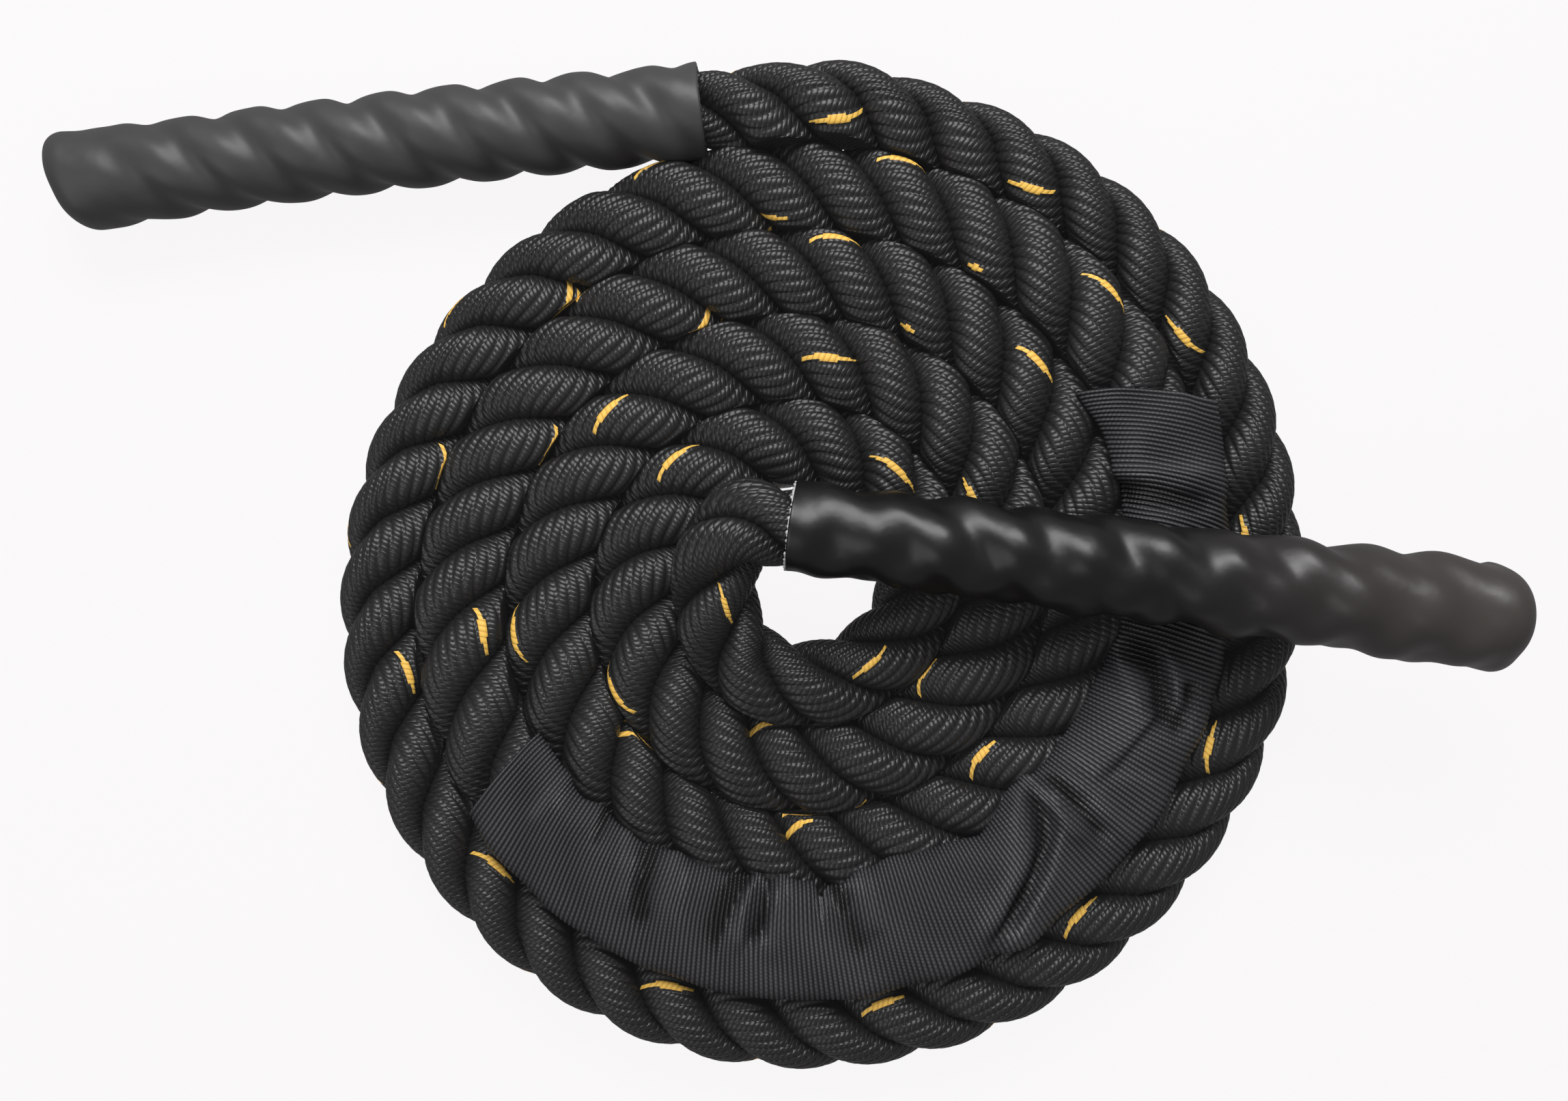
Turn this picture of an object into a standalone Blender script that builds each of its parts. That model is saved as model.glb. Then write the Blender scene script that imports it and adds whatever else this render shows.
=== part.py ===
"""Weighted jump rope, lying coiled on the floor.

A heavy three-strand rope is wound in a flat spiral of five turns. Each end of the rope is gripped in a
shrunk plastic jacket, which takes the lumps of the three strands and is closed over the rope's tip. One
handle lies on the floor beside the coil. The other lies across the coil, where the inner end of the rope
climbs out of the middle. A webbing sleeve that saves the rope from wear slides on the second turn.

Lengths are in metres, +Z is up, and the origin is on the floor under the middle of the handles and sleeve.
"""

import math

import bmesh
import bpy
from mathutils import Matrix, Vector

MM = 0.001
FULL_TURN = 2.0 * math.pi

# Clearances
GAP = 0.3 * MM
MERGE_DISTANCE = 0.01 * MM
CUT_OVERRUN = 20.0 * MM

# Rope
ROPE_DIAMETER = 25.0 * MM
ROPE_RADIUS = ROPE_DIAMETER / 2
ROPE_FLAT_SHARE = 0.1
ROPE_HEIGHT = ROPE_RADIUS - ROPE_FLAT_SHARE * ROPE_DIAMETER
ROPE_PROFILE_TILT = math.radians(30)

# Coil: a flat spiral that runs clockwise and inwards, seen from above
COIL_CENTRE = Vector((12.5 * MM, -18.9 * MM, 0.0))
COIL_OUTER_RADIUS = 148.7 * MM
COIL_PITCH = 26.2 * MM
COIL_START_ANGLE = math.radians(105)
COIL_DRIFT_PER_TURN = 0.4 * MM
COIL_OVALNESS = 1.0 * MM
COIL_OVAL_ANGLE = math.radians(43)
COIL_FIRST_TURN = 0.09
COIL_LAST_TURN = 4.62
JOIN_STRAIGHT = 4.0 * MM
LEAD_LENGTH = 28.0 * MM
POINTS_PER_TURN = 24
EASE_STEPS = 6
CLIMB_FROM_TURN = 4.25
CLIMB_BEFORE_LEAD = 6.0 * MM

# Outer handle, lying on the floor
OUTER_MOUTH = Vector((-17.0 * MM, 125.1 * MM, 15.5 * MM))
OUTER_YAW = math.radians(186.4)
OUTER_PITCH = 0.0
OUTER_LENGTH = 200.0 * MM
OUTER_MOUTH_RADIUS = 14.9 * MM
OUTER_GRIP_RADIUS = 15.0 * MM
OUTER_TIP_RADIUS = 15.6 * MM
OUTER_GRIP_SHARE = 0.12
OUTER_FLARE_SHARE = 0.85
OUTER_END_SLANT = 0.23
OUTER_BOW = 1.8 * MM
OUTER_LAY = 59.0 * MM
OUTER_TWIST = 0.0
OUTER_TIP_LOBE_SHARE = 0.25
OUTER_STRAIGHT = 32.0 * MM
OUTER_EASE = 38.0 * MM

# Inner handle, lying across the coil and the sleeve
INNER_MOUTH = Vector((9.6 * MM, -0.2 * MM, 35.6 * MM))
INNER_YAW = math.radians(-7.4)
INNER_PITCH = math.radians(3.4)
INNER_LENGTH = 206.0 * MM
INNER_MOUTH_RADIUS = 13.4 * MM
INNER_GRIP_RADIUS = 14.9 * MM
INNER_TIP_RADIUS = 15.9 * MM
INNER_GRIP_SHARE = 0.45
INNER_FLARE_SHARE = 0.45
INNER_END_SLANT = 0.08
INNER_BOW = 0.0
INNER_LAY = 67.0 * MM
INNER_TWIST = math.radians(41)
INNER_TIP_LOBE_SHARE = 0.5
INNER_STRAIGHT = 6.0 * MM
INNER_EASE = 58.0 * MM

# Jackets of both handles
JACKET_WALL = 1.2 * MM
JACKET_LOBE_DEPTH = 2.6 * MM
JACKET_MOUTH_LOBE_SHARE = 0.4
JACKET_LOBE_RISE = 14.0 * MM
JACKET_LOBE_FALL = 60.0 * MM
JACKET_END_ROUNDING = 7.0 * MM
JACKET_END_DOME = 2.0 * MM
JACKET_SIDES = 18
JACKET_RINGS = 30
JACKET_END_RINGS = 4

# Rope strands inside the handles
STRANDS = 3
STRAND_CENTRE_RADIUS = 6.1 * MM
STRAND_STEPS_PER_LAY = 9
STRAND_END_CLEARANCE = 5.0 * MM
STRAND_SQUARE_END = 3.0 * MM

# Twine whipping round the rope's tip, and bead of adhesive at the mouth
WHIPPING_LENGTH = 12.0 * MM
WHIPPING_FROM_END = 16.0 * MM
BEAD_LENGTH = 1.0 * MM
BEAD_THICKNESS = 0.9 * MM
TURNED_STEPS = 24

# Webbing sleeve on the second turn
SLEEVE_FIRST_TURN = 1.209
SLEEVE_LAST_TURN = 1.703
SLEEVE_WALL = 0.8 * MM
SLEEVE_OUTER_GAP = 1.0 * MM
SLEEVE_INNER_GAP = 2.0 * MM
SLEEVE_OUTER_WING = 0.4 * MM
SLEEVE_INNER_WING = 2.9 * MM
SLEEVE_WING_LOW = 4.8 * MM
SLEEVE_WING_HIGH = 8.6 * MM
SLEEVE_FOLD_DEPTH = 1.1 * MM
SLEEVE_FOLDS = 7
SLEEVE_FLARE = 5.0 * MM
SLEEVE_FLARE_LOW = 9.9 * MM
SLEEVE_FLARE_HIGH = 11.7 * MM
SLEEVE_FLARE_LENGTH_SHARE = 0.12
SLEEVE_FIRST_LEAN = 0.64
SLEEVE_FIRST_LEAN_SHARE = 0.3
SLEEVE_LAST_LEAN = 0.38
SLEEVE_LAST_LEAN_SHARE = 0.5
SLEEVE_STATIONS = 36
SLEEVE_SLIDE = math.radians(3)
SLEEVE_RAMP_TURNS = 0.07


def smoothstep(low, high, value):
    """0 below low, 1 above high, and an even curve between."""
    t = min(max((value - low) / (high - low), 0.0), 1.0)
    return t * t * (3.0 - 2.0 * t)


def hermite(start, start_run, end, end_run, t):
    """A point on the smooth curve from start to end, leaving along start_run and arriving along end_run."""
    return (
        start * (2 * t**3 - 3 * t**2 + 1)
        + start_run * (t**3 - 2 * t**2 + t)
        + end * (3 * t**2 - 2 * t**3)
        + end_run * (t**3 - t**2)
    )


def sleeve_lift(turns):
    """How far the rope is raised by the sleeve's wall below it."""
    slide = SLEEVE_SLIDE / FULL_TURN + 1.0 / POINTS_PER_TURN
    first = SLEEVE_FIRST_TURN - slide
    last = SLEEVE_LAST_TURN + slide
    rise = smoothstep(first - SLEEVE_RAMP_TURNS, first, turns)
    fall = 1.0 - smoothstep(last, last + SLEEVE_RAMP_TURNS, turns)
    full_lift = SLEEVE_WALL + GAP + ROPE_RADIUS - ROPE_HEIGHT
    return full_lift * rise * fall


def coil_angle(turns):
    return COIL_START_ANGLE - FULL_TURN * turns


def coil_point(turns):
    """The rope's centre on the spiral, so many turns in from its outer end."""
    angle = coil_angle(turns)
    oval = COIL_OVALNESS * math.cos(2.0 * (angle - COIL_OVAL_ANGLE))
    radius = COIL_OUTER_RADIUS - COIL_PITCH * turns + oval
    drift = COIL_DRIFT_PER_TURN * turns
    climb = CLIMB_BEFORE_LEAD * smoothstep(CLIMB_FROM_TURN, COIL_LAST_TURN, turns) ** 2
    return COIL_CENTRE + Vector((
        radius * math.cos(angle) + drift * math.cos(COIL_START_ANGLE),
        radius * math.sin(angle) + drift * math.sin(COIL_START_ANGLE),
        ROPE_HEIGHT + sleeve_lift(turns) + climb,
    ))


def coil_heading(turns):
    """The direction in which the rope runs inwards along the spiral."""
    step = 0.001
    return (coil_point(turns + step) - coil_point(turns - step)).normalized()


def handle_frame(mouth, yaw, pitch):
    """A frame at a handle's mouth, with Z along the handle to its tip and X level."""
    along = Vector((
        math.cos(pitch) * math.cos(yaw),
        math.cos(pitch) * math.sin(yaw),
        math.sin(pitch),
    ))
    level = along.cross(Vector((0.0, 0.0, 1.0))).normalized()
    up = along.cross(level)
    frame = Matrix((level, up, along)).transposed().to_4x4()
    frame.translation = mouth
    return frame


def outer_along():
    return handle_frame(OUTER_MOUTH, OUTER_YAW, OUTER_PITCH).col[2].to_3d()


def inner_along():
    return handle_frame(INNER_MOUTH, INNER_YAW, INNER_PITCH).col[2].to_3d()


def outer_ease(share):
    """The rope's centre from the straight at the outer handle to the start of the spiral."""
    straight_end = OUTER_MOUTH - outer_along() * OUTER_STRAIGHT
    spiral = coil_point(COIL_FIRST_TURN)
    heading = coil_heading(COIL_FIRST_TURN)
    return hermite(straight_end, -outer_along() * OUTER_EASE, spiral, heading * OUTER_EASE, share)


def inner_climb(share):
    """The rope's centre from the end of the spiral up to the straight at the inner handle."""
    straight_start = INNER_MOUTH - inner_along() * INNER_STRAIGHT
    spiral = coil_point(COIL_LAST_TURN)
    heading = coil_heading(COIL_LAST_TURN)
    return hermite(spiral, heading * INNER_EASE, straight_start, inner_along() * INNER_EASE, share)


def route_length(points):
    return sum((b - a).length for a, b in zip(points, points[1:]))


def curve_points(curve, start, end, steps):
    return [curve(start + (end - start) * i / steps) for i in range(steps + 1)]


def inner_lead_share():
    """Where on the climb the inner lead starts, so that it has its length."""
    share = 1.0
    step = 0.01
    while route_length(curve_points(inner_climb, share, 1.0, 8)) + INNER_STRAIGHT < LEAD_LENGTH:
        share -= step
    return share


def squared(points, heading):
    """The points with a short straight along the heading at their end, so that the tube's end is square."""
    end = points[-1]
    before = end - heading * JOIN_STRAIGHT
    kept = [point for point in points[:-1] if (point - end).length > 1.5 * JOIN_STRAIGHT]
    return kept + [before, end]


def coil_route():
    """Points along the wound part of the rope, from one lead to the other."""
    span = COIL_LAST_TURN - COIL_FIRST_TURN
    count = round(span * POINTS_PER_TURN)
    start = OUTER_MOUTH - outer_along() * (LEAD_LENGTH + GAP)
    points = [start] + curve_points(outer_ease, 0.0, 1.0, EASE_STEPS)
    points += [coil_point(COIL_FIRST_TURN + span * i / count) for i in range(1, count + 1)]
    share = inner_lead_share()
    points += curve_points(inner_climb, 0.0, share, EASE_STEPS)[1:]
    step = 0.001
    heading = (inner_climb(share) - inner_climb(share - step)).normalized()
    return squared(points, heading)


def outer_lead_route():
    """Points along the short straight stretch in the outer handle's mouth."""
    return [
        OUTER_MOUTH - outer_along() * GAP,
        OUTER_MOUTH - outer_along() * LEAD_LENGTH / 2,
        OUTER_MOUTH - outer_along() * LEAD_LENGTH,
    ]


def inner_lead_route():
    """Points along the short stretch that bends into the inner handle's mouth."""
    share = inner_lead_share()
    step = 0.001
    heading = (inner_climb(share + step) - inner_climb(share)).normalized()
    points = curve_points(inner_climb, share, 1.0, EASE_STEPS)
    points[0] += heading * GAP
    back = squared(points[::-1], -heading)
    return back[::-1] + [INNER_MOUTH - inner_along() * GAP]


def least_gap_to_itself(points, diameter):
    """The least gap between stretches of the rope that are at least half a turn apart."""
    apart = POINTS_PER_TURN // 2
    least = min(
        (points[i] - points[j]).length
        for i in range(len(points))
        for j in range(i + apart, len(points))
    )
    return least - diameter


def helix_spacing(radius, lay):
    """The least distance between the centres of two neighbouring strands of a rope."""
    rise = lay / FULL_TURN
    best = None
    for i in range(181):
        turned = -math.radians(i)
        chord = 2.0 * radius**2 * (1.0 - math.cos(FULL_TURN / STRANDS + turned))
        distance = math.sqrt(chord + (rise * turned) ** 2)
        best = distance if best is None else min(best, distance)
    return best


def clear_scene():
    for old in list(bpy.data.objects):
        bpy.data.objects.remove(old, do_unlink=True)


def collection(name):
    made = bpy.data.collections.new(name)
    bpy.context.scene.collection.children.link(made)
    return made


def material(name, colour, roughness, metallic=0.0):
    made = bpy.data.materials.new(name)
    made.use_nodes = True
    shader = made.node_tree.nodes["Principled BSDF"]
    shader.inputs["Base Color"].default_value = (*colour, 1.0)
    shader.inputs["Roughness"].default_value = roughness
    shader.inputs["Metallic"].default_value = metallic
    return made


def add_object(name, mesh, where, look, frame=None):
    made = bpy.data.objects.new(name, mesh)
    mesh.materials.clear()
    mesh.materials.append(look)
    mesh.shade_smooth()
    where.objects.link(made)
    if frame is not None:
        made.matrix_world = frame
    return made


def tube_mesh(name, points, radius, resolution, tilt=0.0):
    """A tube along the points with filled ends, as one closed mesh."""
    curve = bpy.data.curves.new(name, "CURVE")
    curve.dimensions = "3D"
    curve.twist_mode = "Z_UP"
    curve.bevel_depth = radius
    curve.bevel_resolution = resolution
    curve.use_fill_caps = True
    spline = curve.splines.new("POLY")
    spline.points.add(len(points) - 1)
    for place, point in zip(spline.points, points):
        place.co = (*point, 1.0)
        place.tilt = tilt
    holder = bpy.data.objects.new(name, curve)
    bpy.context.scene.collection.objects.link(holder)
    bpy.context.view_layer.update()
    evaluated = holder.evaluated_get(bpy.context.evaluated_depsgraph_get())
    mesh = bpy.data.meshes.new_from_object(evaluated)
    bpy.data.objects.remove(holder, do_unlink=True)
    shape = bmesh.new()
    shape.from_mesh(mesh)
    bmesh.ops.remove_doubles(shape, verts=shape.verts, dist=MERGE_DISTANCE)
    bmesh.ops.recalc_face_normals(shape, faces=shape.faces)
    shape.to_mesh(mesh)
    shape.free()
    return mesh


def join_rings(shape, first, second):
    """Faces between two rings of vertices, facing out when the rings run anticlockwise and forwards."""
    count = len(first)
    for i in range(count):
        j = (i + 1) % count
        shape.faces.new((first[i], first[j], second[j], second[i]))


def ring_of(shape, points):
    return [shape.verts.new(point) for point in points]


def finish_mesh(name, shape):
    bmesh.ops.recalc_face_normals(shape, faces=shape.faces)
    mesh = bpy.data.meshes.new(name)
    shape.to_mesh(mesh)
    shape.free()
    return mesh


def turned_ring(name, inner_radius, outer_radius, start, length, where, look, frame):
    """A plain turned band round a handle's axis."""
    mesh = bpy.data.meshes.new(name)
    mesh.from_pydata([(outer_radius, 0.0, length), (outer_radius, 0.0, 0.0)], [(0, 1)], [])
    made = add_object(name, mesh, where, look, frame @ Matrix.Translation((0.0, 0.0, start)))
    screw = made.modifiers.new("Turn", "SCREW")
    screw.steps = TURNED_STEPS
    screw.render_steps = TURNED_STEPS
    screw.use_merge_vertices = True
    screw.merge_threshold = MERGE_DISTANCE
    screw.use_smooth_shade = False
    wall = made.modifiers.new("Wall", "SOLIDIFY")
    wall.thickness = outer_radius - inner_radius
    wall.offset = -1.0
    return made


class Handle:
    """The sizes of one handle, and the shape that its jacket takes from them."""

    def __init__(self, name, mouth, yaw, pitch, length, radii, shares, slant, bow, lay, twist, tip_lobe_share):
        self.name = name
        self.frame = handle_frame(mouth, yaw, pitch)
        self.length = length
        self.mouth_radius, self.grip_radius, self.tip_radius = radii
        self.grip_share, self.flare_share = shares
        self.slant = slant
        self.bow = bow
        self.lay = lay
        self.twist = twist
        self.tip_lobe_share = tip_lobe_share

    def sideways(self, along):
        """How far the bowed handle's centre line lies beside the straight from mouth to tip."""
        share = along / self.length
        return 4.0 * self.bow * share * (1.0 - share)

    def crest_radius(self, along):
        share = along / self.length
        radius = self.mouth_radius
        radius += (self.grip_radius - self.mouth_radius) * smoothstep(0.0, self.grip_share, share)
        radius += (self.tip_radius - self.grip_radius) * smoothstep(self.flare_share, 1.0, share)
        return radius

    def lobe_depth(self, along):
        rise = smoothstep(0.0, JACKET_LOBE_RISE, along)
        fall = smoothstep(self.length - JACKET_LOBE_FALL, self.length, along)
        share = JACKET_MOUTH_LOBE_SHARE + (1.0 - JACKET_MOUTH_LOBE_SHARE) * rise
        share -= (1.0 - self.tip_lobe_share) * fall
        return JACKET_LOBE_DEPTH * share

    def strand_angle(self, along):
        """Where the first strand lies round the handle's axis."""
        return self.twist + FULL_TURN * along / self.lay

    def valley_radius(self, along):
        return self.crest_radius(along) - self.lobe_depth(along)

    def surface_radius(self, along, angle):
        """The jacket's outer radius, with a crest over each strand and a valley between two."""
        phase = STRANDS * (angle - self.strand_angle(along))
        return self.crest_radius(along) - self.lobe_depth(along) * (1.0 - math.cos(phase)) / 2.0

    def ring(self, along, inset, drawn_in=0.0, push=0.0):
        """One ring of the jacket, inset from its outer face, drawn in and pushed along at the end."""
        points = []
        lean = self.slant * smoothstep(0.6, 1.0, along / self.length)
        for i in range(JACKET_SIDES):
            angle = FULL_TURN * i / JACKET_SIDES
            radius = self.surface_radius(along, angle) - inset - drawn_in
            across = radius * math.cos(angle)
            aside = across + self.sideways(along)
            points.append(Vector((aside, radius * math.sin(angle), along + push + lean * across)))
        return points

    def skin_rings(self, inset):
        """All rings of the jacket's outer or inner face, from the mouth to the closed end."""
        rounding = JACKET_END_ROUNDING
        body_end = self.length - rounding - JACKET_END_DOME
        rings = []
        for i in range(JACKET_RINGS + 1):
            rings.append(self.ring(body_end * i / JACKET_RINGS, inset))
        for i in range(1, JACKET_END_RINGS + 1):
            turn = math.radians(90) * i / JACKET_END_RINGS
            depth = (rounding - inset) * math.sin(turn)
            drawn_in = rounding * (1.0 - math.cos(turn))
            rings.append(self.ring(body_end, inset, drawn_in, depth))
        return rings

    def end_pole(self, inset):
        body_end = self.length - JACKET_END_ROUNDING - JACKET_END_DOME
        return Vector((self.sideways(body_end), 0.0, self.length - inset))


def build_jacket(handle, where, look):
    """The shrunk jacket: a thin lobed tube, open at its mouth and closed round the rope's tip."""
    shape = bmesh.new()
    mouths = []
    for inset in (0.0, JACKET_WALL):
        rings = [ring_of(shape, points) for points in handle.skin_rings(inset)]
        for first, second in zip(rings, rings[1:]):
            join_rings(shape, first, second)
        pole = shape.verts.new(handle.end_pole(inset))
        last = rings[-1]
        for i in range(JACKET_SIDES):
            shape.faces.new((last[i], last[(i + 1) % JACKET_SIDES], pole))
        mouths.append(rings[0])
    join_rings(shape, mouths[0], mouths[1])
    mesh = finish_mesh(handle.name + "_handle_jacket", shape)
    return add_object(mesh.name, mesh, where, look, handle.frame)


def strand_radius(handle):
    return (helix_spacing(STRAND_CENTRE_RADIUS, handle.lay) - GAP) / 2.0


def build_strands(handle, where, look):
    """The rope's three strands inside the jacket, each a helix under one of its crests."""
    end = handle.length - JACKET_WALL - GAP - STRAND_END_CLEARANCE - JACKET_END_DOME
    first = STRAND_SQUARE_END
    last = end - STRAND_SQUARE_END
    count = math.ceil((last - first) / handle.lay * STRAND_STEPS_PER_LAY)
    made = []
    for k in range(STRANDS):
        points = []
        for i in range(count + 1):
            along = first + (last - first) * i / count
            angle = handle.strand_angle(along) + FULL_TURN * k / STRANDS
            across = STRAND_CENTRE_RADIUS * math.cos(angle) + handle.sideways(along)
            up = STRAND_CENTRE_RADIUS * math.sin(angle)
            points.append(Vector((across, up, along)))
        points.insert(0, Vector((points[0].x, points[0].y, 0.0)))
        points.append(Vector((points[-1].x, points[-1].y, end)))
        mesh = tube_mesh(f"{handle.name}_handle_strand_{k + 1}", points, strand_radius(handle), 2)
        made.append(add_object(mesh.name, mesh, where, look, handle.frame))
    return made


def build_whipping(handle, where, look):
    """Twine wound round the strands near the tip, which fills the jacket there."""
    start = handle.length - WHIPPING_FROM_END - WHIPPING_LENGTH
    inner = (STRAND_CENTRE_RADIUS + strand_radius(handle) + GAP) / math.cos(math.pi / TURNED_STEPS)
    lean = handle.slant * handle.tip_radius
    reach = [start - lean + (WHIPPING_LENGTH + 2.0 * lean) * i / TURNED_STEPS for i in range(TURNED_STEPS + 1)]
    narrowest = min(handle.valley_radius(along) for along in reach) - JACKET_WALL
    outer = narrowest * math.cos(math.pi / JACKET_SIDES) - GAP
    middle = start + WHIPPING_LENGTH / 2.0
    slope = math.atan((handle.sideways(middle + BEAD_LENGTH) - handle.sideways(middle)) / BEAD_LENGTH)
    turn = Matrix.Rotation(slope, 4, "Y")
    frame = handle.frame @ Matrix.Translation((handle.sideways(middle), 0.0, middle)) @ turn
    name = handle.name + "_handle_whipping"
    return turned_ring(name, inner, outer, -WHIPPING_LENGTH / 2.0, WHIPPING_LENGTH, where, look, frame)


def build_bead(handle, where, look):
    """The bead of adhesive that shows as a pale ragged line where the rope enters the jacket."""
    inner = ROPE_RADIUS + GAP
    start = -GAP - BEAD_LENGTH
    name = handle.name + "_handle_mouth_bead"
    return turned_ring(name, inner, inner + BEAD_THICKNESS, start, BEAD_LENGTH, where, look, handle.frame)


def sleeve_half_outline(side_gap, wing, low, high):
    """One side of the sleeve's inner section: half widths and heights from the rope's centre."""
    side = ROPE_RADIUS * math.cos(ROPE_PROFILE_TILT) + side_gap
    floor = -ROPE_RADIUS - GAP
    top = ROPE_RADIUS + GAP
    return [
        (0.4 * side, floor),
        (0.95 * side, 0.55 * floor),
        (side, 0.6 * SLEEVE_WING_LOW),
        (side + wing, 0.8 * low + 0.2 * high),
        (side + 0.9 * wing, high),
        (0.8 * side, 0.94 * top),
        (0.35 * side, top + 0.5 * GAP),
    ]


def sleeve_outline(share):
    """The sleeve's inner section, at a share of its length from its first end.

    It lies flat under the rope, stands up between the neighbouring turns, and spreads in a wing over the
    shoulder of the inner one. The folds draw this wing in, and the outer side flares at the first end.
    """
    fold = SLEEVE_FOLD_DEPTH * (1.0 - math.cos(FULL_TURN * SLEEVE_FOLDS * share)) / 2.0
    flare = 1.0 - smoothstep(0.0, SLEEVE_FLARE_LENGTH_SHARE, share)
    low = SLEEVE_WING_LOW + (SLEEVE_FLARE_LOW - SLEEVE_WING_LOW) * flare
    high = SLEEVE_WING_HIGH + (SLEEVE_FLARE_HIGH - SLEEVE_WING_HIGH) * flare
    outer = sleeve_half_outline(SLEEVE_OUTER_GAP, SLEEVE_OUTER_WING + SLEEVE_FLARE * flare, low, high)
    inner = sleeve_half_outline(SLEEVE_INNER_GAP, SLEEVE_INNER_WING - fold, SLEEVE_WING_LOW, SLEEVE_WING_HIGH)
    return outer + [(-across, up) for across, up in reversed(inner)]


def widened(outline, distance):
    """The outline moved out by a distance, corner by corner."""
    count = len(outline)
    moved = []
    for i in range(count):
        before = Vector(outline[i - 1])
        here = Vector(outline[i])
        after = Vector(outline[(i + 1) % count])
        out_in = (here - before).normalized()
        out_on = (after - here).normalized()
        normal_in = Vector((out_in.y, -out_in.x))
        normal_on = Vector((out_on.y, -out_on.x))
        middle = (normal_in + normal_on).normalized()
        moved.append(here + middle * distance / max(middle.dot(normal_on), 0.5))
    return moved


def sleeve_lean(share):
    """How far the sleeve's ring runs on along the rope for each step outwards, since its ends are cut aslant."""
    first = SLEEVE_FIRST_LEAN * (1.0 - smoothstep(0.0, SLEEVE_FIRST_LEAN_SHARE, share))
    last = SLEEVE_LAST_LEAN * smoothstep(1.0 - SLEEVE_LAST_LEAN_SHARE, 1.0, share)
    return first - last


def sleeve_point(turns, across, up):
    """A place beside and above the rope's centre, at one place on the spiral."""
    centre = coil_point(turns)
    out = coil_heading(turns).cross(Vector((0.0, 0.0, 1.0))).normalized()
    if out.dot(centre - COIL_CENTRE) < 0:
        out = -out
    centre.z = ROPE_HEIGHT + sleeve_lift(SLEEVE_FIRST_TURN)
    return centre + out * across + Vector((0.0, 0.0, up))


def sleeve_ring(shape, share, outline):
    """The outline stood up across the rope at one share of the sleeve's length, leaning along it at the ends."""
    turns = SLEEVE_FIRST_TURN + (SLEEVE_LAST_TURN - SLEEVE_FIRST_TURN) * share
    round_spiral = FULL_TURN * (COIL_OUTER_RADIUS - COIL_PITCH * turns)
    lean = sleeve_lean(share) / round_spiral
    return ring_of(shape, [sleeve_point(turns + lean * across, across, up) for across, up in outline])


def build_sleeve(where, look):
    """The webbing tube on the second turn, with its main folds on the inner side."""
    shape = bmesh.new()
    ends = []
    for wall in (SLEEVE_WALL, 0.0):
        rings = []
        for i in range(SLEEVE_STATIONS + 1):
            share = i / SLEEVE_STATIONS
            rings.append(sleeve_ring(shape, share, widened(sleeve_outline(share), wall)))
        for first, second in zip(rings, rings[1:]):
            join_rings(shape, first, second)
        ends.append((rings[0], rings[-1]))
    join_rings(shape, ends[0][0], ends[1][0])
    join_rings(shape, ends[0][1], ends[1][1])
    mesh = finish_mesh("wear_sleeve", shape)
    return add_object(mesh.name, mesh, where, look)


def floor_cutter(where):
    """A slab below the floor, which cuts the rope flat where it lies."""
    reach = 2.0 * (COIL_OUTER_RADIUS + CUT_OVERRUN)
    bpy.ops.mesh.primitive_cube_add(size=1.0)
    slab = bpy.context.active_object
    slab.name = "floor_cutter"
    slab.data.transform(Matrix.Diagonal((reach, reach, ROPE_DIAMETER, 1.0)))
    slab.location = COIL_CENTRE - Vector((0.0, 0.0, ROPE_DIAMETER / 2))
    for old in list(slab.users_collection):
        old.objects.unlink(slab)
    where.objects.link(slab)
    slab.hide_render = True
    slab.display_type = "WIRE"
    return slab


def build_rope(name, points, where, look, cutter):
    """One stretch of the rope, cut flat at the floor."""
    mesh = tube_mesh(name, points, ROPE_RADIUS, 1, ROPE_PROFILE_TILT)
    made = add_object(name, mesh, where, look)
    cut = made.modifiers.new("Floor", "BOOLEAN")
    cut.operation = "DIFFERENCE"
    cut.solver = "EXACT"
    cut.object = cutter
    return made


def pivot(name, place, where):
    """An empty on a joint's axis, which carries the pieces that move about it."""
    made = bpy.data.objects.new(name, None)
    made.empty_display_size = ROPE_DIAMETER
    made.location = place
    where.objects.link(made)
    return made


def carry(carrier, pieces):
    for piece in pieces:
        world = piece.matrix_basis.copy()
        piece.parent = carrier
        piece.matrix_basis = Matrix.Translation(-carrier.location) @ world


def build_handle(handle, where, looks):
    pieces = [build_jacket(handle, where, looks["jacket_" + handle.name])]
    pieces += build_strands(handle, where, looks["rope"])
    pieces.append(build_whipping(handle, where, looks["twine"]))
    pieces.append(build_bead(handle, where, looks["adhesive"]))
    return pieces


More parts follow.
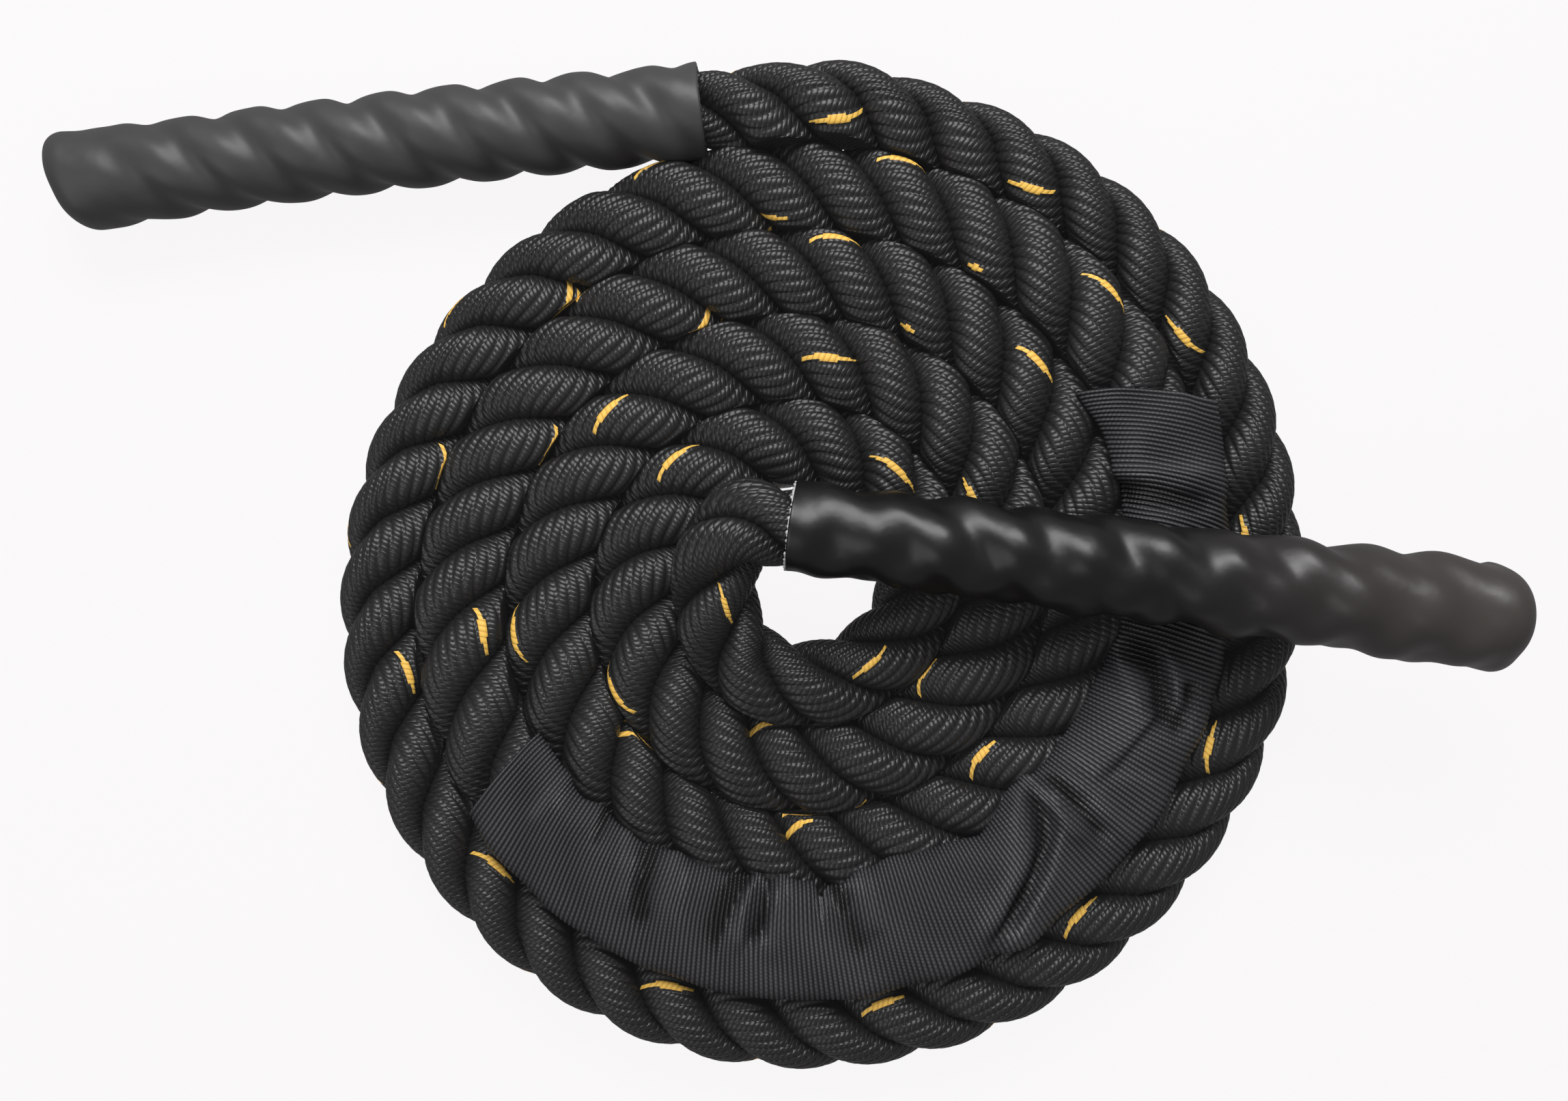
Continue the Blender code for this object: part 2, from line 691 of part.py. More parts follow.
def main():
    clear_scene()
    rope_parts = collection("weighted_jump_rope")
    cutters = collection("cutters")
    looks = {
        "rope": material("black_rope", (0.018, 0.018, 0.02), 0.6),
        "jacket_outer": material("grey_black_jacket", (0.035, 0.036, 0.038), 0.42),
        "jacket_inner": material("black_jacket", (0.016, 0.016, 0.017), 0.4),
        "webbing": material("black_webbing", (0.022, 0.023, 0.026), 0.7),
        "twine": material("black_twine", (0.02, 0.02, 0.02), 0.7),
        "adhesive": material("pale_adhesive", (0.5, 0.5, 0.5), 0.6),
    }
    cutter = floor_cutter(cutters)
    coil = coil_route()
    outer_lead = outer_lead_route()
    inner_lead = inner_lead_route()
    build_rope("rope_coil", coil, rope_parts, looks["rope"], cutter)
    build_rope("rope_outer_lead", outer_lead, rope_parts, looks["rope"], cutter)
    build_rope("rope_inner_lead", inner_lead, rope_parts, looks["rope"], cutter)

    outer = Handle(
        "outer", OUTER_MOUTH, OUTER_YAW, OUTER_PITCH, OUTER_LENGTH,
        (OUTER_MOUTH_RADIUS, OUTER_GRIP_RADIUS, OUTER_TIP_RADIUS),
        (OUTER_GRIP_SHARE, OUTER_FLARE_SHARE), OUTER_END_SLANT, OUTER_BOW,
        OUTER_LAY, OUTER_TWIST, OUTER_TIP_LOBE_SHARE,
    )
    inner = Handle(
        "inner", INNER_MOUTH, INNER_YAW, INNER_PITCH, INNER_LENGTH,
        (INNER_MOUTH_RADIUS, INNER_GRIP_RADIUS, INNER_TIP_RADIUS),
        (INNER_GRIP_SHARE, INNER_FLARE_SHARE), INNER_END_SLANT, INNER_BOW,
        INNER_LAY, INNER_TWIST, INNER_TIP_LOBE_SHARE,
    )
    outer_pivot = pivot("outer_handle_swing", OUTER_MOUTH - outer_along() * LEAD_LENGTH / 2, rope_parts)
    inner_pivot = pivot("inner_handle_lift", INNER_MOUTH - inner_along() * LEAD_LENGTH / 2, rope_parts)
    sleeve_pivot = pivot("sleeve_slide", COIL_CENTRE, rope_parts)
    carry(outer_pivot, build_handle(outer, rope_parts, looks))
    carry(inner_pivot, build_handle(inner, rope_parts, looks))
    carry(sleeve_pivot, [build_sleeve(rope_parts, looks["webbing"])])

    print(f"coil least gap to itself {least_gap_to_itself(coil, ROPE_DIAMETER) / MM:.2f} mm")
    total = route_length(coil) + route_length(outer_lead) + route_length(inner_lead)
    print(f"rope between the handles {total / MM:.0f} mm")
    print(f"outer lead {route_length(outer_lead) / MM:.0f} mm, inner lead {route_length(inner_lead) / MM:.0f} mm")


main()
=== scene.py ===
"""Looks of the weighted jump rope: laid rope with its yarns, shrunk handle jackets and the webbing sleeve.

Lengths are in metres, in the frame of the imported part: +Z up, the floor at zero.
"""

import math

import bpy
import numpy as np
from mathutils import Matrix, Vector

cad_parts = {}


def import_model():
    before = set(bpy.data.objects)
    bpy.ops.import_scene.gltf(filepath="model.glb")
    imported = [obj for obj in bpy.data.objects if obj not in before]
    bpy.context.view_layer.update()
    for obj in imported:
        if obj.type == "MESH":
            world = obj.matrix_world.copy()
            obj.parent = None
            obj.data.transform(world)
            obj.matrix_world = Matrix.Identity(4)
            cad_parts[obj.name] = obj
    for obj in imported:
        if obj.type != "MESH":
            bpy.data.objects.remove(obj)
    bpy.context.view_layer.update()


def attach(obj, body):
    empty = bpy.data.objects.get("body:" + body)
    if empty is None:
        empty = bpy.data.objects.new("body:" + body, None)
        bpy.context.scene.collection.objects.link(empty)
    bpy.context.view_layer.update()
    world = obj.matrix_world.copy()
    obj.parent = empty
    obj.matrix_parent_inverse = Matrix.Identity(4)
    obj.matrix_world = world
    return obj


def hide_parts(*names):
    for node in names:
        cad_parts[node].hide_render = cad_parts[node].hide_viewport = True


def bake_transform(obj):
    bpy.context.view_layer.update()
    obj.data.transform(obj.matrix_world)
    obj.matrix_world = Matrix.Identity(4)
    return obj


MM = 0.001
FULL_TURN = 2.0 * math.pi
UP = Vector((0.0, 0.0, 1.0))

# Camera: straight down from arm's length, with the photo's top towards +Y
CAMERA_PLACE = (7.65 * MM, -7.2 * MM, 420.0 * MM)
CAMERA_LENS_MM = 30.72
CAMERA_SENSOR_MM = 36.0
CAMERA_CLIP_START = 0.01

# Route of the rope, as in the part's source
ROPE_DIAMETER = 25.0 * MM
ROPE_HEIGHT = 10.0 * MM
ROPE_PROFILE_TILT = math.radians(30)
COIL_CENTRE = Vector((12.5 * MM, -18.9 * MM, 0.0))
COIL_OUTER_RADIUS = 148.7 * MM
COIL_PITCH = 26.2 * MM
COIL_START_ANGLE = math.radians(105)
COIL_DRIFT_PER_TURN = 0.4 * MM
COIL_OVALNESS = 1.0 * MM
COIL_OVAL_ANGLE = math.radians(43)
COIL_FIRST_TURN = 0.09
COIL_LAST_TURN = 4.62
CLIMB_FROM_TURN = 4.25
CLIMB_BEFORE_LEAD = 6.0 * MM
LEAD_LENGTH = 28.0 * MM
OUTER_MOUTH = Vector((-17.0 * MM, 125.1 * MM, 15.5 * MM))
OUTER_YAW = math.radians(186.4)
OUTER_PITCH = 0.0
OUTER_STRAIGHT = 32.0 * MM
OUTER_EASE = 38.0 * MM
INNER_MOUTH = Vector((9.6 * MM, -0.2 * MM, 35.6 * MM))
INNER_YAW = math.radians(-7.4)
INNER_PITCH = math.radians(3.4)
INNER_STRAIGHT = 6.0 * MM
INNER_EASE = 58.0 * MM
SLEEVE_FIRST_TURN = 1.209
SLEEVE_LAST_TURN = 1.703
SLEEVE_REACH_TURNS = 0.05
SLEEVE_RAMP_TURNS = 0.07
SLEEVE_LIFT = 3.6 * MM
SLEEVE_SQUEEZE_TURNS = 0.02
SQUEEZE_AT_EDGE_SHARE = 0.3
# Steps of the guide: out of the first mouth, on to the coil, along it, off it and into the other mouth
GUIDE_STEPS = (20, 40, 900, 60, 8)

# Strands: where along the route (mm) they have made how many turns. This table and the tracer's are thinned
# and rounded from the places of the orange marks, measured in the photo by their colour
STRANDS = 3
STRAND_TURNING = (
    (0, 0.7), (330, 5.6), (660, 10.4), (970, 15.1), (1390, 21.3), (1640, 25.27), (1840, 28.45),
    (2020, 31.23), (2290, 35.5), (2627, 40.95),
)
STRAND_CENTRE_RADIUS = 6.6 * MM
STRAND_HALF_HEIGHT = 6.9 * MM
STRAND_HALF_WIDTH = 8.0 * MM
STRAND_SQUARENESS = 2.0
# Spread of the strands where a neighbouring turn presses them: outwards from the second turn on, inwards
# until the last one and most at the coil's start. The first and the innermost turn's free sides are drawn in
SPREAD_OUTWARDS = 0.28
SPREAD_INWARDS = 0.46
SPREAD_AT_START = 0.62
START_TURN = (0.1, 0.15)
SPREAD_FREE = -0.12
SECOND_TURN = (0.9, 1.02)
INNERMOST_TURN = (4.1, 4.25)
INNERMOST_SPREAD = -0.08
SPREAD_FROM_MOUTH = (6.0 * MM, 22.0 * MM)
NEIGHBOUR_FLAT_FROM = 12.0 * MM
NEIGHBOUR_FLAT_ROOM = 1.1 * MM
# The turn outside the sleeve gives way a little, so the cloth can slide
BESIDE_SLEEVE_SPREAD = 0.15
BESIDE_SLEEVE_ROOM = 0.9 * MM
# What is left of the strands' size inside the sleeve and at the jackets' mouths
SQUEEZED_SHARE = 0.865
MOUTH_SQUEEZE_LENGTH = 12.0 * MM

# Yarns of a strand, and the one orange yarn: where along the route (mm) it lies outermost at which of the
# strand's angles (degrees)
YARNS = 12
YARN_TURNS_PER_LAY = 3
YARN_CROWDING = (0.65, -0.075)
YARN_CROWDING_ROUNDS = 40
YARN_CROWDING_STEP = 0.6
YARN_SEED = 40
YARN_GROOVE = 0.58 * MM
YARN_BUMP_SHARES = (0.0, 0.68, 0.92, 1.0, 0.92, 0.68)
YARN_SAMPLES = len(YARN_BUMP_SHARES)
YARN_UNEVENNESS = 0.08
TRACER_SEEN_TO = np.radians((0.0, 36.0, 84.0, 84.0, 36.0, 0.0))
TRACER_OUTERMOST = (
    (0, 115), (660, 125), (970, 180), (1390, 235), (1640, 315), (1840, 390), (2020, 430), (2290, 518),
    (2627, 595),
)
# Where the tracer also shows low on the rope's side: along the route, outwards from its middle and half its
# length there (mm). Six of the places along it are those of marks measured in the photo, the rest is given
GLIMPSES = (
    (798, -9.5, 6.0), (868, -10.3, 6.2), (940, -11.3, 3.0), (1528, -10.6, 6.8), (1597, -11.5, 3.0),
    (1840, -10.0, 6.5), (1910, -11.1, 6.2), (2288, -10.8, 7.2),
)
GLIMPSE_SHAPE = np.array((0.0, 0.48, 1.0, 1.0, 0.48, 0.0)) * MM
GLIMPSE_HEIGHT_WEIGHT = 0.5
SECTION_SAMPLES = 361
RING_STEP = 1.8 * MM
ROPE_SECTIONS = 4
ROPE_INSIDE_MOUTH = 3.0 * MM


def soft(low, high, values):
    """0 below low, 1 above high, and an even curve between, for a number or an array."""
    t = np.clip((values - low) / (high - low), 0.0, 1.0)
    return t * t * (3.0 - 2.0 * t)


def hermite(start, start_run, end, end_run, t):
    """A point on the smooth curve from start to end, leaving along start_run and arriving along end_run."""
    return (
        start * (2 * t**3 - 3 * t**2 + 1)
        + start_run * (t**3 - 2 * t**2 + t)
        + end * (3 * t**2 - 2 * t**3)
        + end_run * (t**3 - t**2)
    )


def direction(yaw, pitch):
    return Vector((math.cos(pitch) * math.cos(yaw), math.cos(pitch) * math.sin(yaw), math.sin(pitch)))


def near_sleeve(turns):
    """1 on the stretch of the spiral that the sleeve takes, fading out before and after it."""
    first = SLEEVE_FIRST_TURN - SLEEVE_REACH_TURNS
    last = SLEEVE_LAST_TURN + SLEEVE_REACH_TURNS
    rise = soft(first - SLEEVE_RAMP_TURNS, first, turns)
    return rise * (1.0 - soft(last, last + SLEEVE_RAMP_TURNS, turns))


def sleeve_lift(turns):
    """How far the rope is raised by the sleeve's wall below it."""
    return SLEEVE_LIFT * near_sleeve(turns)


def coil_point(turns):
    """The rope's centre on the spiral, so many turns in from its outer end."""
    angle = COIL_START_ANGLE - FULL_TURN * turns
    oval = COIL_OVALNESS * math.cos(2.0 * (angle - COIL_OVAL_ANGLE))
    radius = COIL_OUTER_RADIUS - COIL_PITCH * turns + oval
    drift = COIL_DRIFT_PER_TURN * turns
    climb = CLIMB_BEFORE_LEAD * soft(CLIMB_FROM_TURN, COIL_LAST_TURN, turns) ** 2
    return COIL_CENTRE + Vector((
        radius * math.cos(angle) + drift * math.cos(COIL_START_ANGLE),
        radius * math.sin(angle) + drift * math.sin(COIL_START_ANGLE),
        ROPE_HEIGHT + sleeve_lift(turns) + climb,
    ))


def coil_heading(turns):
    step = 0.001
    return (coil_point(turns + step) - coil_point(turns - step)).normalized()


class Route:
    """The rope's centre line from handle to handle, at even steps, with its side and upward directions."""

    def __init__(self):
        points, turns = self.guide()
        points = np.array(points)
        lengths = np.r_[0.0, np.cumsum(np.linalg.norm(np.diff(points, axis=0), axis=1))]
        self.length = lengths[-1]
        self.count = round(self.length / RING_STEP)
        self.along = np.linspace(0.0, self.length, self.count + 1)
        self.to_end = np.minimum(self.along, self.length - self.along)
        self.turns = np.interp(self.along, lengths, turns)
        self.points = np.stack([np.interp(self.along, lengths, points[:, i]) for i in range(3)], axis=1)
        heading = np.gradient(self.points, axis=0)
        heading /= np.linalg.norm(heading, axis=1)[:, None]
        self.side = np.cross(np.array(UP), heading)
        self.side /= np.linalg.norm(self.side, axis=1)[:, None]
        self.up = np.cross(heading, self.side)

    def guide(self):
        """Close points along the route, each with its number of turns."""
        outer = direction(OUTER_YAW, OUTER_PITCH)
        inner = direction(INNER_YAW, INNER_PITCH)
        start = OUTER_MOUTH + outer * ROPE_INSIDE_MOUTH
        straight_end = OUTER_MOUTH - outer * OUTER_STRAIGHT
        mouth_steps, on_steps, coil_steps, off_steps, end_steps = GUIDE_STEPS
        points = [start.lerp(straight_end, i / mouth_steps) for i in range(mouth_steps)]
        first = coil_point(COIL_FIRST_TURN)
        heading = coil_heading(COIL_FIRST_TURN)
        ease = heading * OUTER_EASE
        for i in range(on_steps):
            points.append(hermite(straight_end, -outer * OUTER_EASE, first, ease, i / on_steps))
        turns = [COIL_FIRST_TURN] * len(points)
        for i in range(coil_steps):
            here = COIL_FIRST_TURN + (COIL_LAST_TURN - COIL_FIRST_TURN) * i / coil_steps
            points.append(coil_point(here))
            turns.append(here)
        last = coil_point(COIL_LAST_TURN)
        heading = coil_heading(COIL_LAST_TURN)
        straight_start = INNER_MOUTH - inner * INNER_STRAIGHT
        ease = heading * INNER_EASE
        for i in range(off_steps):
            points.append(hermite(last, ease, straight_start, inner * INNER_EASE, i / off_steps))
        end = INNER_MOUTH + inner * ROPE_INSIDE_MOUTH
        points += [straight_start.lerp(end, i / end_steps) for i in range(end_steps + 1)]
        turns += [COIL_LAST_TURN] * (len(points) - len(turns))
        return points, turns

    def ring_at(self, along):
        return int(round(along / self.length * self.count))


def along_table(route, table):
    """The table's values at every ring of the route."""
    places, values = zip(*table)
    return np.interp(route.along / MM, places, values)


def strand_angles(route, strand):
    """The strand's angle at every ring, from the side away from the coil's middle over the top."""
    return FULL_TURN * (along_table(route, STRAND_TURNING) + strand / STRANDS)


def strand_section():
    """The strand's rounded square section by even steps of its length: heights, widths and normals."""
    angle = np.linspace(-math.pi, math.pi, 2 * SECTION_SAMPLES - 1)
    power = 2.0 / STRAND_SQUARENESS
    out = STRAND_HALF_HEIGHT * np.sign(np.cos(angle)) * np.abs(np.cos(angle)) ** power
    aside = STRAND_HALF_WIDTH * np.sign(np.sin(angle)) * np.abs(np.sin(angle)) ** power
    run = np.r_[0.0, np.cumsum(np.hypot(np.diff(out), np.diff(aside)))]
    even = np.linspace(0.0, run[-1], SECTION_SAMPLES)
    out = np.interp(even, run, out)
    aside = np.interp(even, run, aside)
    edge_out = np.gradient(out)
    edge_aside = np.gradient(aside)
    size = np.hypot(edge_out, edge_aside)
    table = np.linspace(-math.pi, math.pi, SECTION_SAMPLES)
    return table, out, aside, edge_aside / size, -edge_out / size


def yarn_edges(strand):
    """Where the samples of each yarn lie round the strand, with yarns of slightly uneven width."""
    luck = np.random.default_rng(YARN_SEED + strand)
    widths = 1.0 + YARN_UNEVENNESS * luck.uniform(-1.0, 1.0, YARNS)
    starts = np.r_[0.0, np.cumsum(widths)] - widths[0] / 2.0
    places = np.arange(YARNS * YARN_SAMPLES + 1) / YARN_SAMPLES
    return FULL_TURN * np.interp(places, np.arange(YARNS + 1), starts) / widths.sum()


def fullness(route):
    """1 where the rope lies free, and less where the sleeve or a jacket squeezes it."""
    turns = route.turns
    inside = np.clip((turns - SLEEVE_FIRST_TURN) / SLEEVE_SQUEEZE_TURNS + SQUEEZE_AT_EDGE_SHARE, 0.0, 1.0)
    inside *= np.clip((SLEEVE_LAST_TURN - turns) / SLEEVE_SQUEEZE_TURNS + SQUEEZE_AT_EDGE_SHARE, 0.0, 1.0)
    held = np.clip(1.0 - (route.to_end - ROPE_INSIDE_MOUTH) / MOUTH_SQUEEZE_LENGTH, 0.0, 1.0)
    return 1.0 - (1.0 - SQUEEZED_SHARE) * np.maximum(inside, held)


def strand_points(route, strand, first, last):
    """Rings of points round one strand between two places on the route, one sample on each yarn's groove."""
    rings = slice(first, last + 1)
    angle = strand_angles(route, strand)[rings, None]
    outermost = np.radians(along_table(route, TRACER_OUTERMOST))[rings, None]
    place = yarn_edges(strand)[None, :-1] + YARN_TURNS_PER_LAY * (outermost - angle)
    around = place.copy()
    once, twice = YARN_CROWDING
    for _ in range(YARN_CROWDING_ROUNDS):
        shift = once * np.sin(around) + twice * np.sin(2.0 * around)
        around += YARN_CROWDING_STEP * (place - shift - around)
    table, out, aside, normal_out, normal_aside = strand_section()
    wrapped = (around + math.pi) % FULL_TURN - math.pi
    sink = YARN_GROOVE * (1.0 - np.tile(YARN_BUMP_SHARES, YARNS)[None, :])
    full = fullness(route)[rings, None]
    far = full * (STRAND_CENTRE_RADIUS + np.interp(wrapped, table, out))
    far -= sink * np.interp(wrapped, table, normal_out)
    beside = full * np.interp(wrapped, table, aside) - sink * np.interp(wrapped, table, normal_aside)
    level = far * np.cos(angle) - beside * np.sin(angle)
    high = far * np.sin(angle) + beside * np.cos(angle)
    free = (full - SQUEEZED_SHARE) / (1.0 - SQUEEZED_SHARE)
    pressed = free * soft(*SPREAD_FROM_MOUTH, route.to_end[rings, None])
    turns = route.turns[rings, None]
    outwards = SPREAD_FREE + (SPREAD_OUTWARDS - SPREAD_FREE) * soft(*SECOND_TURN, turns)
    inwards = SPREAD_AT_START + (SPREAD_INWARDS - SPREAD_AT_START) * soft(*START_TURN, turns)
    inwards += (INNERMOST_SPREAD - SPREAD_INWARDS) * soft(*INNERMOST_TURN, turns)
    yielding = near_sleeve(turns + 1.0) * (level < 0.0)
    level *= 1.0 + (np.where(level > 0.0, outwards, inwards) - BESIDE_SLEEVE_SPREAD * yielding) * pressed
    over = np.maximum(np.abs(level) + BESIDE_SLEEVE_ROOM * yielding - NEIGHBOUR_FLAT_FROM, 0.0)
    flat = NEIGHBOUR_FLAT_ROOM * np.tanh(over / NEIGHBOUR_FLAT_ROOM)
    level -= np.sign(level) * (over - flat) * pressed
    points = (
        route.points[rings, None, :]
        + level[:, :, None] * route.side[rings, None, :]
        + high[:, :, None] * route.up[rings, None, :]
    )
    points[:, :, 2] = np.maximum(points[:, :, 2], 0.0)
    return points, wrapped


def grid_faces(rings, samples, offset):
    """Quads between rings of a tube, facing out where the samples run anticlockwise along the tube."""
    ring = np.arange(rings - 1)[:, None] * samples
    here = np.arange(samples)[None, :]
    on = (here + 1) % samples
    quads = np.stack([ring + here, ring + on, ring + on + samples, ring + here + samples], axis=-1)
    return quads.reshape(-1, 4) + offset


def grid_normals(points):
    """Outward normals at the points of a tube's rings."""
    along = np.gradient(points, axis=0)
    around = np.roll(points, -1, axis=1) - np.roll(points, 1, axis=1)
    normals = np.cross(around, along)
    return normals / np.linalg.norm(normals, axis=2)[:, :, None]


def mesh_from(name, points, quads, caps=(), normals=None):
    """A smooth mesh from an array of points, four-sided faces and flat closing faces with many corners."""
    mesh = bpy.data.meshes.new(name)
    loops = np.concatenate([quads.ravel()] + [np.asarray(cap) for cap in caps]).astype(np.int32)
    sizes = np.concatenate([np.full(len(quads), 4), [len(cap) for cap in caps]]).astype(np.int32)
    starts = np.concatenate([[0], np.cumsum(sizes)[:-1]]).astype(np.int32)
    mesh.vertices.add(len(points))
    mesh.vertices.foreach_set("co", points.astype(np.float32).ravel())
    mesh.loops.add(len(loops))
    mesh.loops.foreach_set("vertex_index", loops)
    mesh.polygons.add(len(sizes))
    mesh.polygons.foreach_set("loop_start", starts)
    mesh.polygons.foreach_set("loop_total", sizes)
    mesh.polygons.foreach_set("use_smooth", np.arange(len(sizes)) < len(quads))
    mesh.update(calc_edges=True)
    mesh.validate()
    if normals is not None:
        flat = np.zeros((len(loops) - quads.size, 3))
        mesh.normals_split_custom_set(np.concatenate([normals[quads.ravel()], flat]).tolist())
    return mesh


def add_piece(name, mesh, *materials):
    piece = bpy.data.objects.new(name, mesh)
    bpy.context.scene.collection.objects.link(piece)
    for look in materials:
        mesh.materials.append(look)
    return piece


def glimpsed_yarn(route, ring, outwards):
    """The strand and the yarn that lie uppermost at a place on one ring of the rope."""
    found = []
    for strand in range(STRANDS):
        points, _ = strand_points(route, strand, ring, ring)
        away = points[0] - route.points[ring]
        rank = np.abs(away @ route.side[ring] - outwards) - GLIMPSE_HEIGHT_WEIGHT * away[:, 2]
        best = np.argmin(rank)
        found.append((rank[best], strand, best // YARN_SAMPLES))
    return min(found)[1:]


def rope_mesh(route, name, first, last):
    """The strands between two rings of the route, with yarn coordinates and the tracer's faces marked."""
    samples = YARNS * YARN_SAMPLES
    rings = last - first + 1
    points = []
    normals = []
    quads = []
    caps = []
    marks = []
    before = min(first, 1)
    after = min(route.count - last, 1)
    for strand in range(STRANDS):
        offset = strand * rings * samples
        places, around = strand_points(route, strand, first - before, last + after)
        around = around[before:before + rings]
        normals.append(grid_normals(places)[before:before + rings].reshape(-1, 3))
        points.append(places[before:before + rings].reshape(-1, 3))
        quads.append(grid_faces(rings, samples, offset))
        caps.append(offset + np.arange(samples)[::-1])
        caps.append(offset + (rings - 1) * samples + np.arange(samples))
        traced = np.zeros((rings - 1, samples), bool)
        if strand == 0:
            traced[:, :YARN_SAMPLES] = np.abs(around[:-1, :YARN_SAMPLES]) < TRACER_SEEN_TO
        marks.append(traced)
    for place, outwards, reach in GLIMPSES:
        strand, yarn = glimpsed_yarn(route, route.ring_at(place * MM), outwards * MM)
        away = np.abs(route.along[first:last, None] - place * MM)
        marks[strand][:, yarn * YARN_SAMPLES:(yarn + 1) * YARN_SAMPLES] |= away < reach * GLIMPSE_SHAPE
    quads = np.concatenate(quads)
    mesh = mesh_from(name, np.concatenate(points), quads, caps, np.concatenate(normals))
    layer = mesh.uv_layers.new(name="yarn")
    along = route.along[first:last + 1] / MM
    corner_along = np.stack([along[:-1], along[:-1], along[1:], along[1:]], axis=-1)[:, None, :]
    here = np.arange(samples) / YARN_SAMPLES
    on = here + 1.0 / YARN_SAMPLES
    corner_yarn = np.stack([here, on, on, here], axis=-1)[None, :, :]
    one = np.stack(np.broadcast_arrays(corner_along, corner_yarn), axis=-1).reshape(-1, 2)
    shifted = [one + np.array([0.0, strand * YARNS]) for strand in range(STRANDS)]
    ends = np.zeros((sum(len(cap) for cap in caps), 2))
    layer.data.foreach_set("uv", np.concatenate(shifted + [ends]).astype(np.float32).ravel())
    slots = np.concatenate([traced.ravel() for traced in marks] + [np.zeros(len(caps), bool)])
    mesh.polygons.foreach_set("material_index", slots.astype(np.int32))
    return mesh


def new_material(name, colour, roughness):
    made = bpy.data.materials.new(name)
    made.use_nodes = True
    shader = made.node_tree.nodes["Principled BSDF"]
    shader.inputs["Base Color"].default_value = (*colour, 1.0)
    shader.inputs["Roughness"].default_value = roughness
    return made, made.node_tree, shader


class Nodes:
    """Short calls for building a material's nodes."""

    def __init__(self, tree):
        self.tree = tree

    def put(self, kind, **settings):
        node = self.tree.nodes.new(kind)
        for key, value in settings.items():
            setattr(node, key, value)
        return node

    def feed(self, socket, value):
        if hasattr(value, "links"):
            self.tree.links.new(value, socket)
        else:
            socket.default_value = value

    def math(self, operation, a, b=0.0):
        node = self.put("ShaderNodeMath", operation=operation)
        self.feed(node.inputs[0], a)
        self.feed(node.inputs[1], b)
        return node.outputs[0]

    def humps(self, value):
        """Even humps, one for each unit of the value."""
        return self.math("ABSOLUTE", self.math("SINE", self.math("MULTIPLY", value, math.pi)))

    def ramp(self, value, low, high):
        node = self.put("ShaderNodeMapRange", interpolation_type="SMOOTHSTEP")
        self.feed(node.inputs[0], value)
        node.inputs[1].default_value = low
        node.inputs[2].default_value = high
        return node.outputs[0]

    def mix(self, share, a, b):
        node = self.put("ShaderNodeMix", data_type="RGBA")
        self.feed(node.inputs[0], share)
        self.feed(node.inputs[6], a)
        self.feed(node.inputs[7], b)
        return node.outputs[2]

    def noise(self, vector, scale, detail=2.0):
        node = self.put("ShaderNodeTexNoise")
        self.feed(node.inputs["Vector"], vector)
        node.inputs["Scale"].default_value = scale
        node.inputs["Detail"].default_value = detail
        return node.outputs["Fac"]

    def bump(self, height, distance, under=None):
        node = self.put("ShaderNodeBump")
        node.inputs["Distance"].default_value = distance
        self.feed(node.inputs["Height"], height)
        if under is not None:
            self.feed(node.inputs["Normal"], under)
        return node.outputs[0]


# Plies and fibres of a yarn
PLY_STEP_MM = 1.75
PLY_SLANT = 0.6
PLY_BUMP = 0.18 * MM
PLY_SHADE = 0.5
PLY_ROUNDNESS = 0.6
FIBRE_STRETCH = (3.0, 9.0)
FIBRE_DETAIL = 3.0
FIBRE_BUMP = 0.03 * MM
YARN_EDGE_POWER = 3.0
YARN_SPECULAR = 0.45
# Painted light: an even faint glow of the yarns, which lifts their deepest shadows
YARN_PAINTED_GLOW = 0.0042


def yarn_material(name, colour, painted_groove_colour, roughness):
    """Twisted yarn: slanted plies in a row along each yarn, fine fibres, and edges and ply valleys in a
    painted groove colour.
    """
    made, tree, shader = new_material(name, colour, roughness)
    n = Nodes(tree)
    place = n.put("ShaderNodeUVMap", uv_map="yarn").outputs[0]
    parts = n.put("ShaderNodeSeparateXYZ")
    n.feed(parts.inputs[0], place)
    along, across = parts.outputs[0], parts.outputs[1]
    number = n.math("FLOOR", across)
    share = n.math("FRACT", across)
    luck = n.put("ShaderNodeTexWhiteNoise", noise_dimensions="1D")
    n.feed(luck.inputs["W"], number)
    slant = n.math("MULTIPLY", share, PLY_SLANT)
    steps = n.math("ADD", n.math("DIVIDE", along, PLY_STEP_MM), n.math("ADD", slant, luck.outputs[0]))
    ply = n.math("POWER", n.humps(steps), PLY_ROUNDNESS)
    stretched = n.put("ShaderNodeCombineXYZ")
    n.feed(stretched.inputs[0], n.math("MULTIPLY", steps, FIBRE_STRETCH[0]))
    n.feed(stretched.inputs[1], n.math("MULTIPLY", across, FIBRE_STRETCH[1]))
    fibres = n.noise(stretched.outputs[0], 1.0, FIBRE_DETAIL)
    off_middle = n.math("ABSOLUTE", n.math("SUBTRACT", n.math("MULTIPLY", share, 2.0), 1.0))
    middle = n.math("SUBTRACT", 1.0, n.math("POWER", off_middle, YARN_EDGE_POWER))
    # Painted light and shade: the yarn's edges and ply valleys take the groove colour, lighter on the black
    # yarn, darker on the orange one
    shade = n.math("MULTIPLY", middle, n.math("ADD", n.math("MULTIPLY", ply, PLY_SHADE), 1.0 - PLY_SHADE))
    n.feed(shader.inputs["Base Color"], n.mix(shade, (*painted_groove_colour, 1.0), (*colour, 1.0)))
    first = n.bump(ply, PLY_BUMP)
    n.feed(shader.inputs["Normal"], n.bump(fibres, FIBRE_BUMP, first))
    shader.inputs["Specular IOR Level"].default_value = YARN_SPECULAR
    # Painted light: a faint even glow that lifts the yarns' deepest shadows
    shader.inputs["Emission Color"].default_value = (1.0, 1.0, 1.0, 1.0)
    shader.inputs["Emission Strength"].default_value = YARN_PAINTED_GLOW
    return made


